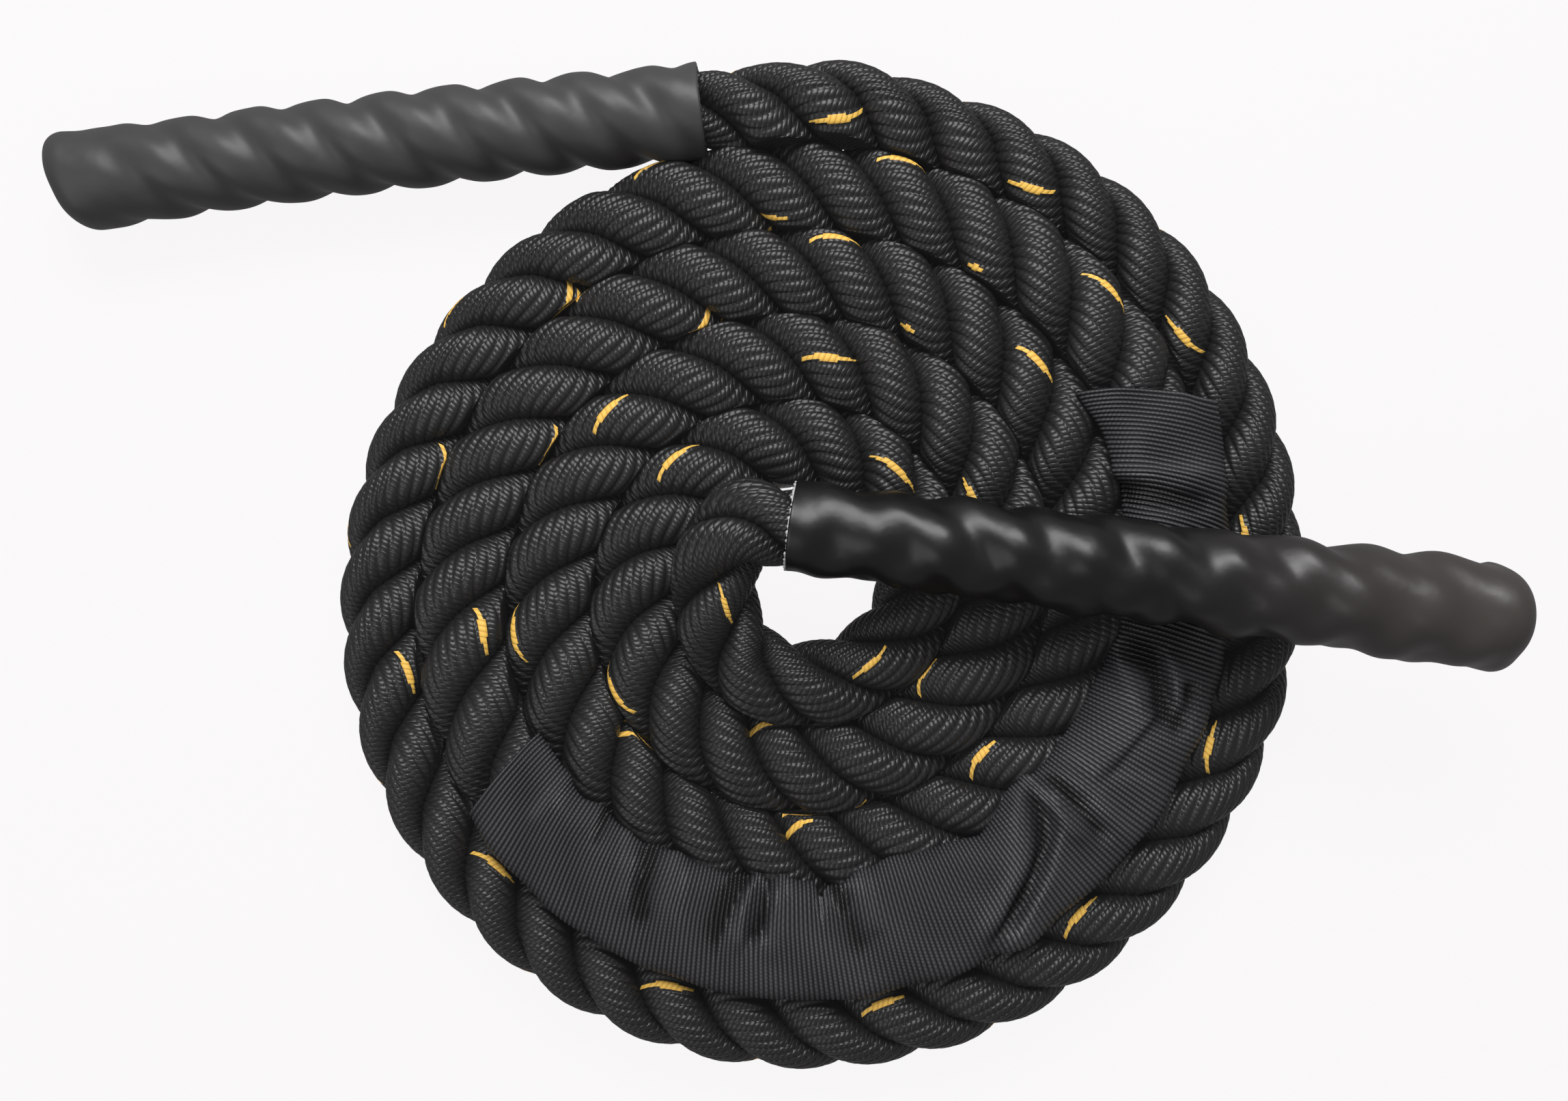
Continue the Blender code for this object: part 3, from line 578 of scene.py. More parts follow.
# Handles: jackets shrunk over the strands, at the same places as in the part's source, with radii, lobes,
# and the outer one's length and slant, nearer to the photo. The inner one gets greyer from here to here (X)
GREYER_TIP_FROM_TO = (100.0 * MM, 212.0 * MM)
JACKET_WALL = 1.2 * MM
JACKET_LOBE_FALL = 60.0 * MM
JACKET_END_ROUNDING = 7.0 * MM
JACKET_END_DOME = 2.0 * MM
JACKET_SIDES = 96
JACKET_RINGS = 200
JACKET_END_RINGS = 16
JACKET_EDGE_ROUNDING = 0.5 * MM
JACKET_INSIDE_LENGTH = 14.0 * MM
JACKET_INSIDE_RINGS = 8
JACKET_DOME_SHARES = np.linspace(0.12, 0.96, 8)
JACKET_SLANT_FROM_SHARE = 0.6
# Uneven skin: waves round it and steps along it, of a fine waver and of the dents
JACKET_WAVER = 0.12 * MM
JACKET_WAVER_RISE = 10.0 * MM
WAVER_ROUND = (5.0, 2.0)
WAVER_ALONG = (4.3 * MM, 7.1 * MM)
DENTS_ROUND = (2.0, 1.9)
DENTS_ALONG = (10.9 * MM, 4.2 * MM)
HANDLES = {
    "outer": {
        "mouth": OUTER_MOUTH, "yaw": OUTER_YAW, "pitch": OUTER_PITCH, "length": 196.8 * MM,
        "radii": (14.8 * MM, 14.3 * MM, 15.2 * MM), "shares": (0.12, 0.85), "slant": 0.18, "bow": 1.8 * MM,
        "lay": 59.0 * MM, "twist": 0.0, "lobe_shares": (0.4, 0.25), "lobe_rise": 14.0 * MM,
        "lobe_depth": 1.95 * MM, "lobe_power": 1.7, "dents": 0.35 * MM,
    },
    "inner": {
        "mouth": INNER_MOUTH, "yaw": INNER_YAW, "pitch": INNER_PITCH, "length": 206.0 * MM,
        "radii": (13.4 * MM, 14.7 * MM, 15.6 * MM), "shares": (0.45, 0.45), "slant": 0.08, "bow": 0.0,
        "lay": 67.0 * MM, "twist": math.radians(41), "lobe_shares": (0.4, 0.5), "lobe_rise": 60.0 * MM,
        "lobe_depth": 1.6 * MM, "lobe_power": 1.5, "dents": 0.85 * MM,
    },
}


def handle_frame(sizes):
    """Rows of the handle's frame: level, up, along to its tip."""
    along = direction(sizes["yaw"], sizes["pitch"])
    level = along.cross(UP).normalized()
    return np.array([level, along.cross(level), along])


def jacket_ring(sizes, along, inset=0.0, drawn_in=0.0, push=0.0):
    """Points round the jacket at each place along it, in world coordinates."""
    along = np.atleast_1d(along)[:, None]
    angle = FULL_TURN * np.arange(JACKET_SIDES)[None, :] / JACKET_SIDES
    length = sizes["length"]
    share = along / length
    mouth, grip, tip = sizes["radii"]
    grip_share, flare_share = sizes["shares"]
    crest = mouth + (grip - mouth) * soft(0.0, grip_share, share)
    crest += (tip - grip) * soft(flare_share, 1.0, share)
    mouth_share, tip_share = sizes["lobe_shares"]
    lobe = mouth_share + (1.0 - mouth_share) * soft(0.0, sizes["lobe_rise"], along)
    lobe -= (1.0 - tip_share) * soft(length - JACKET_LOBE_FALL, length, along)
    turned = angle - sizes["twist"] - FULL_TURN * along / sizes["lay"]
    valley = ((1.0 - np.cos(STRANDS * turned)) / 2.0) ** sizes["lobe_power"]
    radius = crest - sizes["lobe_depth"] * lobe * valley - inset - drawn_in
    waver = np.sin(WAVER_ROUND[0] * turned + along / WAVER_ALONG[0])
    waver *= np.sin(along / WAVER_ALONG[1] + WAVER_ROUND[1] * angle)
    dents = np.sin(DENTS_ROUND[0] * angle + along / DENTS_ALONG[0])
    dents *= np.sin(along / DENTS_ALONG[1] + DENTS_ROUND[1] * np.sin(angle))
    radius += (JACKET_WAVER * waver + sizes["dents"] * dents) * soft(0.0, JACKET_WAVER_RISE, along)
    across = radius * np.cos(angle)
    aside = across + 4.0 * sizes["bow"] * share * (1.0 - share)
    lean = sizes["slant"] * soft(JACKET_SLANT_FROM_SHARE, 1.0, share)
    frame = handle_frame(sizes)
    places = np.stack([aside, radius * np.sin(angle), along + push + lean * across], axis=-1)
    return places @ frame + np.array(sizes["mouth"])


def jacket_mesh(sizes, name):
    """The jacket's skin from inside its mouth, round the cut edge and over the closed tip."""
    length = sizes["length"]
    body_end = length - JACKET_END_ROUNDING - JACKET_END_DOME
    inside = np.linspace(JACKET_INSIDE_LENGTH, JACKET_EDGE_ROUNDING, JACKET_INSIDE_RINGS)
    rings = [jacket_ring(sizes, inside, JACKET_WALL)]
    for wall, turns in ((JACKET_WALL, (0.0, 45.0, 90.0)), (0.0, (90.0, 45.0, 0.0))):
        for turn in np.radians(turns):
            back = JACKET_EDGE_ROUNDING * (1.0 - math.sin(turn))
            rings.append(jacket_ring(sizes, back, abs(wall - JACKET_EDGE_ROUNDING * (1.0 - math.cos(turn)))))
    rings.append(jacket_ring(sizes, np.linspace(2.0 * JACKET_EDGE_ROUNDING, body_end, JACKET_RINGS)))
    for i in range(1, JACKET_END_RINGS + 1):
        turn = math.radians(90.0) * i / JACKET_END_RINGS
        drawn_in = JACKET_END_ROUNDING * (1.0 - math.cos(turn))
        push = JACKET_END_ROUNDING * math.sin(turn)
        rings.append(jacket_ring(sizes, body_end, 0.0, drawn_in, push))
    rim = rings[-1][0]
    pole = rim.mean(axis=0)
    tip = np.array(direction(sizes["yaw"], sizes["pitch"])) * JACKET_END_DOME
    for share in JACKET_DOME_SHARES:
        rings.append((rim + (pole - rim) * share + tip * (1.0 - (1.0 - share) ** 2))[None])
    points = np.concatenate(rings)
    count = len(points)
    quads = grid_faces(count, JACKET_SIDES, 0)
    cap = (count - 1) * JACKET_SIDES + np.arange(JACKET_SIDES)
    return mesh_from(name, points.reshape(-1, 3), quads, [cap])


def build_handles(looks):
    for side, sizes in HANDLES.items():
        name = side + "_jacket_skin"
        piece = add_piece(name, jacket_mesh(sizes, name), looks[side])
        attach(piece, side + "_handle")
        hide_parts(side + "_handle_jacket")


# Adhesive that was pressed out of the mouths: a ragged line at the edge of the jacket
BEAD_SIDES = 240
BEAD_SECTION = 8
BEAD_WAVES = (7, 13, 23, 37, 61)
BEAD_WAVE_HEIGHTS = (0.1, 0.35)
BEAD_MEAN = 0.62
BEAD_GAIN = 0.6
BEAD_LIMITS = (0.15, 1.3)
BEAD_LIFT_SHARE = 0.3
BEAD_LIFT_FROM = 0.6
BEAD_FORWARD_SHARE = 0.35
# Radius, thickness and reach of each
BEADS = {"outer": (13.2 * MM, 0.25 * MM, 0.4 * MM), "inner": (12.6 * MM, 0.5 * MM, 0.9 * MM)}


def bead_mesh(sizes, name, radius, thick, reach, seed):
    """A thin closed ring of uneven thickness and reach."""
    luck = np.random.default_rng(seed)
    angle = FULL_TURN * np.arange(BEAD_SIDES)[:, None] / BEAD_SIDES
    ragged = np.zeros_like(angle)
    for waves in BEAD_WAVES:
        ragged += luck.uniform(*BEAD_WAVE_HEIGHTS) * np.sin(waves * angle + luck.uniform(0.0, FULL_TURN))
    ragged = np.clip(BEAD_MEAN + BEAD_GAIN * ragged, *BEAD_LIMITS)
    turn = FULL_TURN * np.arange(BEAD_SECTION)[None, :] / BEAD_SECTION
    rise = radius + thick * ragged * np.cos(turn)
    rise = rise + BEAD_LIFT_SHARE * thick * (ragged - BEAD_LIFT_FROM)
    along = -reach * ragged * (0.5 - 0.5 * np.sin(turn)) + BEAD_FORWARD_SHARE * reach
    frame = handle_frame(sizes)
    places = np.stack([rise * np.cos(angle), rise * np.sin(angle), along], axis=-1) @ frame
    points = (places + np.array(sizes["mouth"])).reshape(-1, 3)
    return mesh_from(name, points, grid_faces(BEAD_SIDES + 1, BEAD_SECTION, 0) % len(points))


def build_beads(looks):
    for seed, (side, (radius, thick, reach)) in enumerate(BEADS.items()):
        name = side + "_mouth_adhesive"
        mesh = bead_mesh(HANDLES[side], name, radius, thick, reach, seed)
        piece = add_piece(name, mesh, looks[side])
        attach(piece, side + "_handle")
        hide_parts(side + "_handle_mouth_bead")


# Webbing sleeve, as in the part's source but for a smaller and shorter flare, with its ribs and folds
SLEEVE_WALL = 0.8 * MM
SLEEVE_MEAN_RADIUS = 111.0 * MM
SLEEVE_OUTER_GAP = 1.0 * MM
SLEEVE_INNER_GAP = 2.0 * MM
SLEEVE_OUTER_WING = 0.4 * MM
SLEEVE_INNER_WING = 2.9 * MM
SLEEVE_WING_LOW = 4.8 * MM
SLEEVE_WING_HIGH = 8.6 * MM
SLEEVE_FOLD_DEPTH = 1.1 * MM
SLEEVE_FOLDS = 7
SLEEVE_FLARE = 2.8 * MM
SLEEVE_FLARE_LOW = 9.9 * MM
SLEEVE_FLARE_HIGH = 11.7 * MM
SLEEVE_FLARE_LENGTH_SHARE = 0.065
SLEEVE_FIRST_LEAN = 0.64
SLEEVE_FIRST_LEAN_SHARE = 0.3
SLEEVE_LAST_LEAN = 0.38
SLEEVE_LAST_LEAN_SHARE = 0.5
SLEEVE_GAP = 0.3 * MM
SLEEVE_SAMPLES_PER_CORNER = 9
RIB_STEP = 1.43 * MM
RIB_SAMPLES = 4
RIB_HEIGHT = 0.42 * MM
RIB_SINK = 0.6
STITCH_STEP = 1.05 * MM
# The strands below show faintly through the cloth
SLEEVE_STRAND_RELIEF = 0.35 * MM
SLEEVE_STRAND_STEP = 23.0 * MM
SLEEVE_STRAND_SLANT = 0.9
# Rumple along X and along Y: its step, its sway and the step of that sway along the other one
SLEEVE_RUMPLE = 0.45 * MM
SLEEVE_RUMPLE_WAVES = ((5.1 * MM, 1.3, 9.0 * MM), (6.7 * MM, 1.1, 11.0 * MM))
# The cloth lies slack on the rope, except below the handle that crosses it, and its creases stop at the rope
SLEEVE_SLACK = 1.7 * MM
SLEEVE_SLACK_SOUTH = (34.0 * MM, 46.0 * MM)
SLEEVE_SLACK_NORTH = (5.0 * MM, 13.0 * MM)
SLEEVE_CREASE_LIMIT = 0.8 * MM
SLEEVE_FACING_UP = (0.1, 0.6)
CREASE_FADE_IN = (-0.12, 0.15)
CREASE_FADE_OUT = (0.75, 1.12)
# Painted shade: fold heights from the darkest colour to the cloth's own
SLEEVE_SHADE_FROM_TO = (-3.8 * MM, 1.6 * MM)
# Inner edge, from the photo: how far (mm) the cloth reaches further in towards the coil's middle, at
# angles (degrees) that run on from SLEEVE_ANGLES_FROM
SLEEVE_ANGLES_FROM = 200.0
SLEEVE_EDGE_FROM_TO = (6.0 * MM, 14.0 * MM)
SLEEVE_INNER_EDGE = (
    (209, -1.5), (217, 0.5), (224, -0.6), (228, 2.4), (236, -1.0), (241, 3.4), (257, 4.0), (272.4, 4.8),
    (273.8, -1.0), (275.4, 3.4), (288, 7.0), (300, 6.0), (306, 2.6), (317, 6.6), (330, 5.4), (360, 1.5),
    (390, 0.0),
)
# Folds, from the photo: from and to (mm, seen from above), height (mm, below zero for a crease), half
# widths on the left and right of that line (mm), and how far its middle bows to the left (mm)
SLEEVE_CREASES = (
    ((88.0, -82.0), (69.5, -124.0), 3.2, 8.0, 1.0, 2.6),
    ((88.0, -82.0), (69.5, -124.0), -5.0, 1.6, 3.2, 2.6),
    ((82.5, -84.0), (65.5, -121.0), 2.7, 2.2, 3.4, 2.6),
    ((82.9, -77.9), (95.0, -92.0), 2.7, 1.8, 2.2, 0.0),
    ((90.5, -78.0), (102.0, -92.0), -2.6, 2.4, 2.4, 0.0),
    ((95.6, -75.0), (110.0, -92.0), 1.8, 2.6, 2.6, 0.0),
    ((115.6, -55.0), (99.5, -74.0), 2.8, 1.0, 5.0, 0.0),
    ((99.5, -73.9), (119.0, -75.5), 1.4, 2.6, 5.0, 0.0),
    ((113.0, -34.0), (119.5, -59.0), -4.0, 2.7, 3.2, 1.5),
    ((108.5, -33.0), (113.0, -54.0), 2.4, 2.4, 2.4, 0.0),
    ((120.0, -37.0), (125.0, -56.0), 2.2, 2.4, 2.4, 0.0),
    ((127.0, -46.0), (122.5, -62.0), -2.6, 2.7, 2.7, 0.0),
    # A broad shallow crease below the inner handle; it lowers the cloth a little, and its darkening is the
    # handle's painted shadow
    ((100.0, -24.0), (130.0, -30.0), -1.5, 7.0, 7.0, 0.0),
    ((104.0, 11.6), (134.0, 6.5), -2.8, 3.0, 3.0, -1.0),
    ((104.0, 17.0), (134.0, 14.5), 1.7, 2.6, 2.6, 0.0),
    ((3.5, -104.5), (-13.0, -125.0), -3.6, 2.4, 4.9, -4.5),
    ((-0.5, -107.0), (-5.5, -124.0), 3.0, 1.8, 2.0, -1.5),
    ((4.0, -105.0), (-2.0, -123.0), -2.6, 2.2, 2.2, 1.0),
    ((7.0, -108.0), (3.5, -127.0), 2.0, 2.6, 2.6, 0.0),
    ((14.5, -105.5), (21.5, -110.5), 3.4, 1.6, 1.8, -0.6),
    ((23.0, -104.0), (25.9, -115.5), -3.2, 2.6, 2.3, -1.0),
    ((25.7, -113.0), (31.0, -126.0), -1.8, 3.2, 3.2, 0.0),
    ((31.0, -106.0), (35.0, -119.0), 2.0, 2.4, 2.4, 0.0),
    ((-33.2, -95.0), (-34.5, -118.0), -3.2, 3.8, 2.4, 0.0),
    ((-38.7, -88.0), (-38.4, -113.0), 2.4, 2.2, 2.6, 0.0),
    ((-26.0, -94.0), (-24.5, -118.0), 1.8, 2.6, 2.6, 0.0),
    ((-45.0, -83.0), (-48.5, -94.0), -2.4, 2.2, 2.2, 0.0),
    ((-57.0, -74.0), (-66.0, -88.0), 1.8, 2.4, 2.4, 0.0),
)


def sleeve_half_outline(side_gap, wing, low, high):
    """One side of the sleeve's inner section: half widths and heights from the rope's centre."""
    radius = ROPE_DIAMETER / 2.0
    side = radius * math.cos(ROPE_PROFILE_TILT) + side_gap
    floor = -radius - SLEEVE_GAP
    top = radius + SLEEVE_GAP
    return [
        (0.4 * side, floor),
        (0.95 * side, 0.55 * floor),
        (side, 0.6 * SLEEVE_WING_LOW),
        (side + wing, 0.8 * low + 0.2 * high),
        (side + 0.9 * wing, high),
        (0.8 * side, 0.94 * top),
        (0.35 * side, top + 0.5 * SLEEVE_GAP),
    ]


def sleeve_outline(share):
    fold = SLEEVE_FOLD_DEPTH * (1.0 - math.cos(FULL_TURN * SLEEVE_FOLDS * share)) / 2.0
    flare = 1.0 - soft(0.0, SLEEVE_FLARE_LENGTH_SHARE, share)
    low = SLEEVE_WING_LOW + (SLEEVE_FLARE_LOW - SLEEVE_WING_LOW) * flare
    high = SLEEVE_WING_HIGH + (SLEEVE_FLARE_HIGH - SLEEVE_WING_HIGH) * flare
    outer = sleeve_half_outline(SLEEVE_OUTER_GAP, SLEEVE_OUTER_WING + SLEEVE_FLARE * flare, low, high)
    inner_wing = SLEEVE_INNER_WING - fold
    inner = sleeve_half_outline(SLEEVE_INNER_GAP, inner_wing, SLEEVE_WING_LOW, SLEEVE_WING_HIGH)
    return np.array(outer + [(-across, up) for across, up in reversed(inner)])


def sleeve_lean(share):
    """How far the sleeve's ring runs on along the rope per step outwards: its ends are cut aslant."""
    first = SLEEVE_FIRST_LEAN * (1.0 - soft(0.0, SLEEVE_FIRST_LEAN_SHARE, share))
    last = SLEEVE_LAST_LEAN * soft(1.0 - SLEEVE_LAST_LEAN_SHARE, 1.0, share)
    return first - last


def rounded_loop(corners, samples):
    """A smooth closed curve through the corners."""
    before, here, on, after = (np.roll(corners, k, axis=0) for k in (1, 0, -1, -2))
    t = np.arange(samples)[None, :, None] / samples
    before, here, on, after = (side[:, None, :] for side in (before, here, on, after))
    curve = 2.0 * here + (on - before) * t + (2.0 * before - 5.0 * here + 4.0 * on - after) * t**2
    curve += (3.0 * here - before - 3.0 * on + after) * t**3
    return (curve / 2.0).reshape(-1, 2)


def sleeve_grid(wall):
    """The sleeve's rings: places, normals, widths from the rope's middle, lengths round, and its length."""
    length = (SLEEVE_LAST_TURN - SLEEVE_FIRST_TURN) * FULL_TURN * SLEEVE_MEAN_RADIUS
    rings = int(length / RIB_STEP * RIB_SAMPLES)
    margin = 0.05
    table = np.linspace(SLEEVE_FIRST_TURN - margin, SLEEVE_LAST_TURN + margin, 400)
    centres = np.array([coil_point(turns) for turns in table])
    headings = np.array([coil_heading(turns) for turns in table])
    places = []
    normals = []
    across = []
    rounds = []
    for i in range(rings + 1):
        share = i / rings
        loop = rounded_loop(sleeve_outline(share), SLEEVE_SAMPLES_PER_CORNER)
        edge = np.roll(loop, -1, axis=0) - np.roll(loop, 1, axis=0)
        normal = np.stack([edge[:, 1], -edge[:, 0]], axis=1)
        normal /= np.linalg.norm(normal, axis=1)[:, None]
        loop = loop + normal * wall
        turns = SLEEVE_FIRST_TURN + (SLEEVE_LAST_TURN - SLEEVE_FIRST_TURN) * share
        lean = sleeve_lean(share) / (FULL_TURN * (COIL_OUTER_RADIUS - COIL_PITCH * turns))
        here = turns + lean * loop[:, 0]
        centre = np.stack([np.interp(here, table, centres[:, k]) for k in (0, 1)], axis=1)
        ahead_x, ahead_y = (np.interp(here, table, headings[:, k]) for k in (0, 1))
        out = np.stack([-ahead_y, ahead_x], axis=1)
        height = ROPE_HEIGHT + SLEEVE_LIFT + loop[:, 1]
        places.append(np.column_stack([centre + loop[:, :1] * out, height]))
        normals.append(np.column_stack([normal[:, :1] * out, normal[:, 1]]))
        across.append(np.column_stack([loop[:, :1] * out, loop[:, 0]]))
        rounds.append(np.cumsum(np.linalg.norm(edge, axis=1)) / 2.0)
    return np.array(places), np.array(normals), np.array(across), np.array(rounds), length


def slack_height(places):
    """How high the cloth lies above the squeezed rope, away from the handle that crosses it."""
    level = places[:, :, 1]
    return SLEEVE_SLACK * np.maximum(soft(*SLEEVE_SLACK_SOUTH, -level), soft(*SLEEVE_SLACK_NORTH, level))


def crease_height(places):
    """How far the folds lift or sink the cloth at each place."""
    height = np.zeros(places.shape[:2])
    flat = places[:, :, :2] / MM
    for start, end, lift, left, right, bow in SLEEVE_CREASES:
        start, end = np.array(start), np.array(end)
        run = end - start
        size = np.linalg.norm(run)
        t = ((flat - start) @ run) / size**2
        beside = (flat - start) @ np.array([-run[1], run[0]]) / size
        beside = beside - bow * np.sin(math.pi * np.clip(t, 0.0, 1.0))
        width = np.where(beside > 0.0, left, right)
        window = soft(*CREASE_FADE_IN, t) * (1.0 - soft(*CREASE_FADE_OUT, t))
        height += lift * MM * np.exp(-(beside / width) ** 2) * window
    return height


def cloth_relief(places, along):
    """Faint lumps of the strands below, and an uneven rumple."""
    side = np.linalg.norm(places[:, :, :2] - np.array(COIL_CENTRE)[:2], axis=2)
    phase = FULL_TURN * (along[:, None] + SLEEVE_STRAND_SLANT * side) / SLEEVE_STRAND_STEP
    rumple = SLEEVE_RUMPLE
    for axis, (step, sway, sway_step) in enumerate(SLEEVE_RUMPLE_WAVES):
        swayed = sway * np.sin(places[:, :, 1 - axis] / sway_step)
        rumple = rumple * np.sin(places[:, :, axis] / step + swayed)
    return SLEEVE_STRAND_RELIEF * np.cos(phase) + rumple


def inner_reach(places, width):
    """How far the cloth on the inner side is drawn out towards the coil's middle."""
    flat = places[:, :, :2] - np.array(COIL_CENTRE)[:2]
    angle = np.degrees(np.arctan2(flat[:, :, 1], flat[:, :, 0]))
    angle = (angle - SLEEVE_ANGLES_FROM) % 360.0 + SLEEVE_ANGLES_FROM
    table = np.array(SLEEVE_INNER_EDGE, float)
    reach = np.interp(angle, table[:, 0], table[:, 1]) * MM
    return reach * soft(*SLEEVE_EDGE_FROM_TO, -width)


def sleeve_mesh(name):
    """The webbing tube: ribbed and folded outside, plain inside, joined at both ends."""
    outer, normals, across, rounds, length = sleeve_grid(SLEEVE_WALL)
    rings, samples = outer.shape[:2]
    along = np.linspace(0.0, length, rings)
    facing_up = soft(*SLEEVE_FACING_UP, normals[:, :, 2])
    rib = RIB_HEIGHT * (np.abs(np.sin(math.pi * along / RIB_STEP)) - RIB_SINK)
    slack = slack_height(outer)
    fold = crease_height(outer) + cloth_relief(outer, along)
    # Painted shade: the cloth's colour darkens where its folds, creases and relief sink
    shade = soft(*SLEEVE_SHADE_FROM_TO, fold)
    fold = facing_up * np.maximum(fold + slack, -SLEEVE_CREASE_LIMIT)
    outer = outer + normals * (rib[:, None] + fold)[:, :, None]
    inner = sleeve_grid(0.0)[0] + normals * fold[:, :, None]
    out = across[:, :, :2] / across[:, :, 2:]
    for skin in (outer, inner):
        skin[:, :, :2] -= inner_reach(skin, across[:, :, 2])[:, :, None] * out
    points = np.concatenate([outer.reshape(-1, 3), inner[::RIB_SAMPLES].reshape(-1, 3)])
    low = len(inner[::RIB_SAMPLES])
    outside = grid_faces(rings, samples, 0)
    inside = grid_faces(low, samples, rings * samples)[:, ::-1]
    here = np.arange(samples)
    on = (here + 1) % samples
    first = rings * samples
    last = first + (low - 1) * samples
    top = (rings - 1) * samples
    near_end = np.stack([here, first + here, first + on, on], axis=-1)
    far_end = np.stack([top + here, top + on, last + on, last + here], axis=-1)
    quads = np.concatenate([outside, inside, near_end, far_end])
    mesh = mesh_from(name, points, quads)
    # Painted shade of the folds, kept at each point for the material
    fold_shade_and_tip_tone = mesh.attributes.new("fold_shade", "FLOAT", "POINT")
    fold_shade_and_tip_tone.data.foreach_set("value", np.r_[shade.ravel(), shade[::RIB_SAMPLES].ravel()].astype(np.float32))
    layer = mesh.uv_layers.new(name="webbing")
    corner = np.zeros(len(mesh.loops), np.int32)
    mesh.loops.foreach_get("vertex_index", corner)
    u = np.r_[np.repeat(along, samples), np.repeat(along[::RIB_SAMPLES], samples)] / MM
    v = np.r_[rounds.ravel(), rounds[::RIB_SAMPLES].ravel()] / MM
    layer.data.foreach_set("uv", np.stack([u[corner], v[corner]], axis=1).astype(np.float32).ravel())
    return mesh, (rounds[:, -1].mean(), length)


def build_sleeve(look):
    mesh, flat = sleeve_mesh("webbing_sleeve")
    sleeve = add_piece("webbing_sleeve", mesh, look)
    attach(sleeve, "sleeve")
    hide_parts("wear_sleeve")


# Looks of the webbing and of the jackets: scale and height of their skin's broad and fine unevenness
WEBBING_ROUGHNESS = 0.45
WEBBING_BUMP = 0.35 * MM
STITCH_SHARE = 0.35
STITCH_OFFSET = 0.5
# Painted shade between the ribs: the share of the webbing's colour left there
RIB_GAP_SHADE_SHARE = 0.06
# Painted shade: how much of its colour the cloth loses in the deepest folds
FOLD_DARKENING = 0.82
JACKET_SKIN = ((150.0, 0.18 * MM), (2600.0, 0.006 * MM))


def webbing_material(name, colour):
    """Ribbed webbing: rows of small stitches on each rib, with painted shade between the ribs and stitches
    and in the folds.
    """
    made, tree, shader = new_material(name, colour, WEBBING_ROUGHNESS)
    n = Nodes(tree)
    place = n.put("ShaderNodeUVMap", uv_map="webbing").outputs[0]
    parts = n.put("ShaderNodeSeparateXYZ")
    n.feed(parts.inputs[0], place)
    rib = n.math("DIVIDE", parts.outputs[0], RIB_STEP / MM)
    row = n.math("FLOOR", rib)
    offset = n.math("MULTIPLY", row, STITCH_OFFSET)
    stitch = n.math("ADD", n.math("DIVIDE", parts.outputs[1], STITCH_STEP / MM), offset)
    stitched = n.math("ADD", n.math("MULTIPLY", n.humps(stitch), STITCH_SHARE), 1.0 - STITCH_SHARE)
    height = n.math("MULTIPLY", n.humps(rib), stitched)
    # Painted shade: the colour darkens between the ribs and between the stitches
    rib_gap_shade = tuple(RIB_GAP_SHADE_SHARE * c for c in colour)
    ribbed = n.mix(height, (*rib_gap_shade, 1.0), (*colour, 1.0))
    # Painted shade: the colour goes towards black where the folds sink
    fold_shade_and_tip_tone = n.put("ShaderNodeAttribute", attribute_name="fold_shade").outputs["Fac"]
    shaded_in_folds = n.mix(FOLD_DARKENING, ribbed, (0.0, 0.0, 0.0, 1.0))
    n.feed(shader.inputs["Base Color"], n.mix(fold_shade_and_tip_tone, shaded_in_folds, ribbed))
    n.feed(shader.inputs["Normal"], n.bump(height, WEBBING_BUMP))
    return made


def jacket_material(name, colour, roughness, tip_colour=None, reach=(0.0, 1.0)):
    """Satin plastic with a faintly uneven surface, in another tone towards its tip where one is given."""
    made, tree, shader = new_material(name, colour, roughness)
    n = Nodes(tree)
    place = n.put("ShaderNodeTexCoord").outputs["Object"]
    if tip_colour is not None:
        parts = n.put("ShaderNodeSeparateXYZ")
        n.feed(parts.inputs[0], place)
        share = n.ramp(parts.outputs[0], *reach)
        n.feed(shader.inputs["Base Color"], n.mix(share, (*colour, 1.0), (*tip_colour, 1.0)))
    normal = None
    for scale, depth in JACKET_SKIN:
        normal = n.bump(n.noise(place, scale), depth, normal)
    n.feed(shader.inputs["Normal"], normal)
    return made


# Black: the grooves and ply valleys are painted lighter than the yarn, painted light that lifts their shade
BLACK_YARN = (0.009, 0.009, 0.0093)
BLACK_GROOVE_PAINTED_LIGHT = (0.017, 0.017, 0.0175)
# Orange: its own colour, painted paler and yellower as a highlight, with the grooves painted darker as shade
ORANGE_YARN_AND_HIGHLIGHT = (1.0, 0.62, 0.11)
ORANGE_GROOVE_PAINTED_SHADE = (0.62, 0.24, 0.03)
GREY_JACKET = (0.047, 0.047, 0.048)
BLACK_JACKET = (0.004, 0.004, 0.0042)
GREYER_TIP_JACKET = (0.055, 0.0485, 0.0455)
WEBBING = (0.084, 0.084, 0.0915)
PALE_ADHESIVE = (0.55, 0.55, 0.55)
DARK_ADHESIVE = (0.05, 0.05, 0.05)
ROUGHNESS = {"black": 0.36, "orange": 0.55, "grey_jacket": 0.5, "black_jacket": 0.39, "adhesive": 0.5}


def add_strands(route, name, first, last, looks):
    return add_piece(name, rope_mesh(route, name, first, last), *looks)


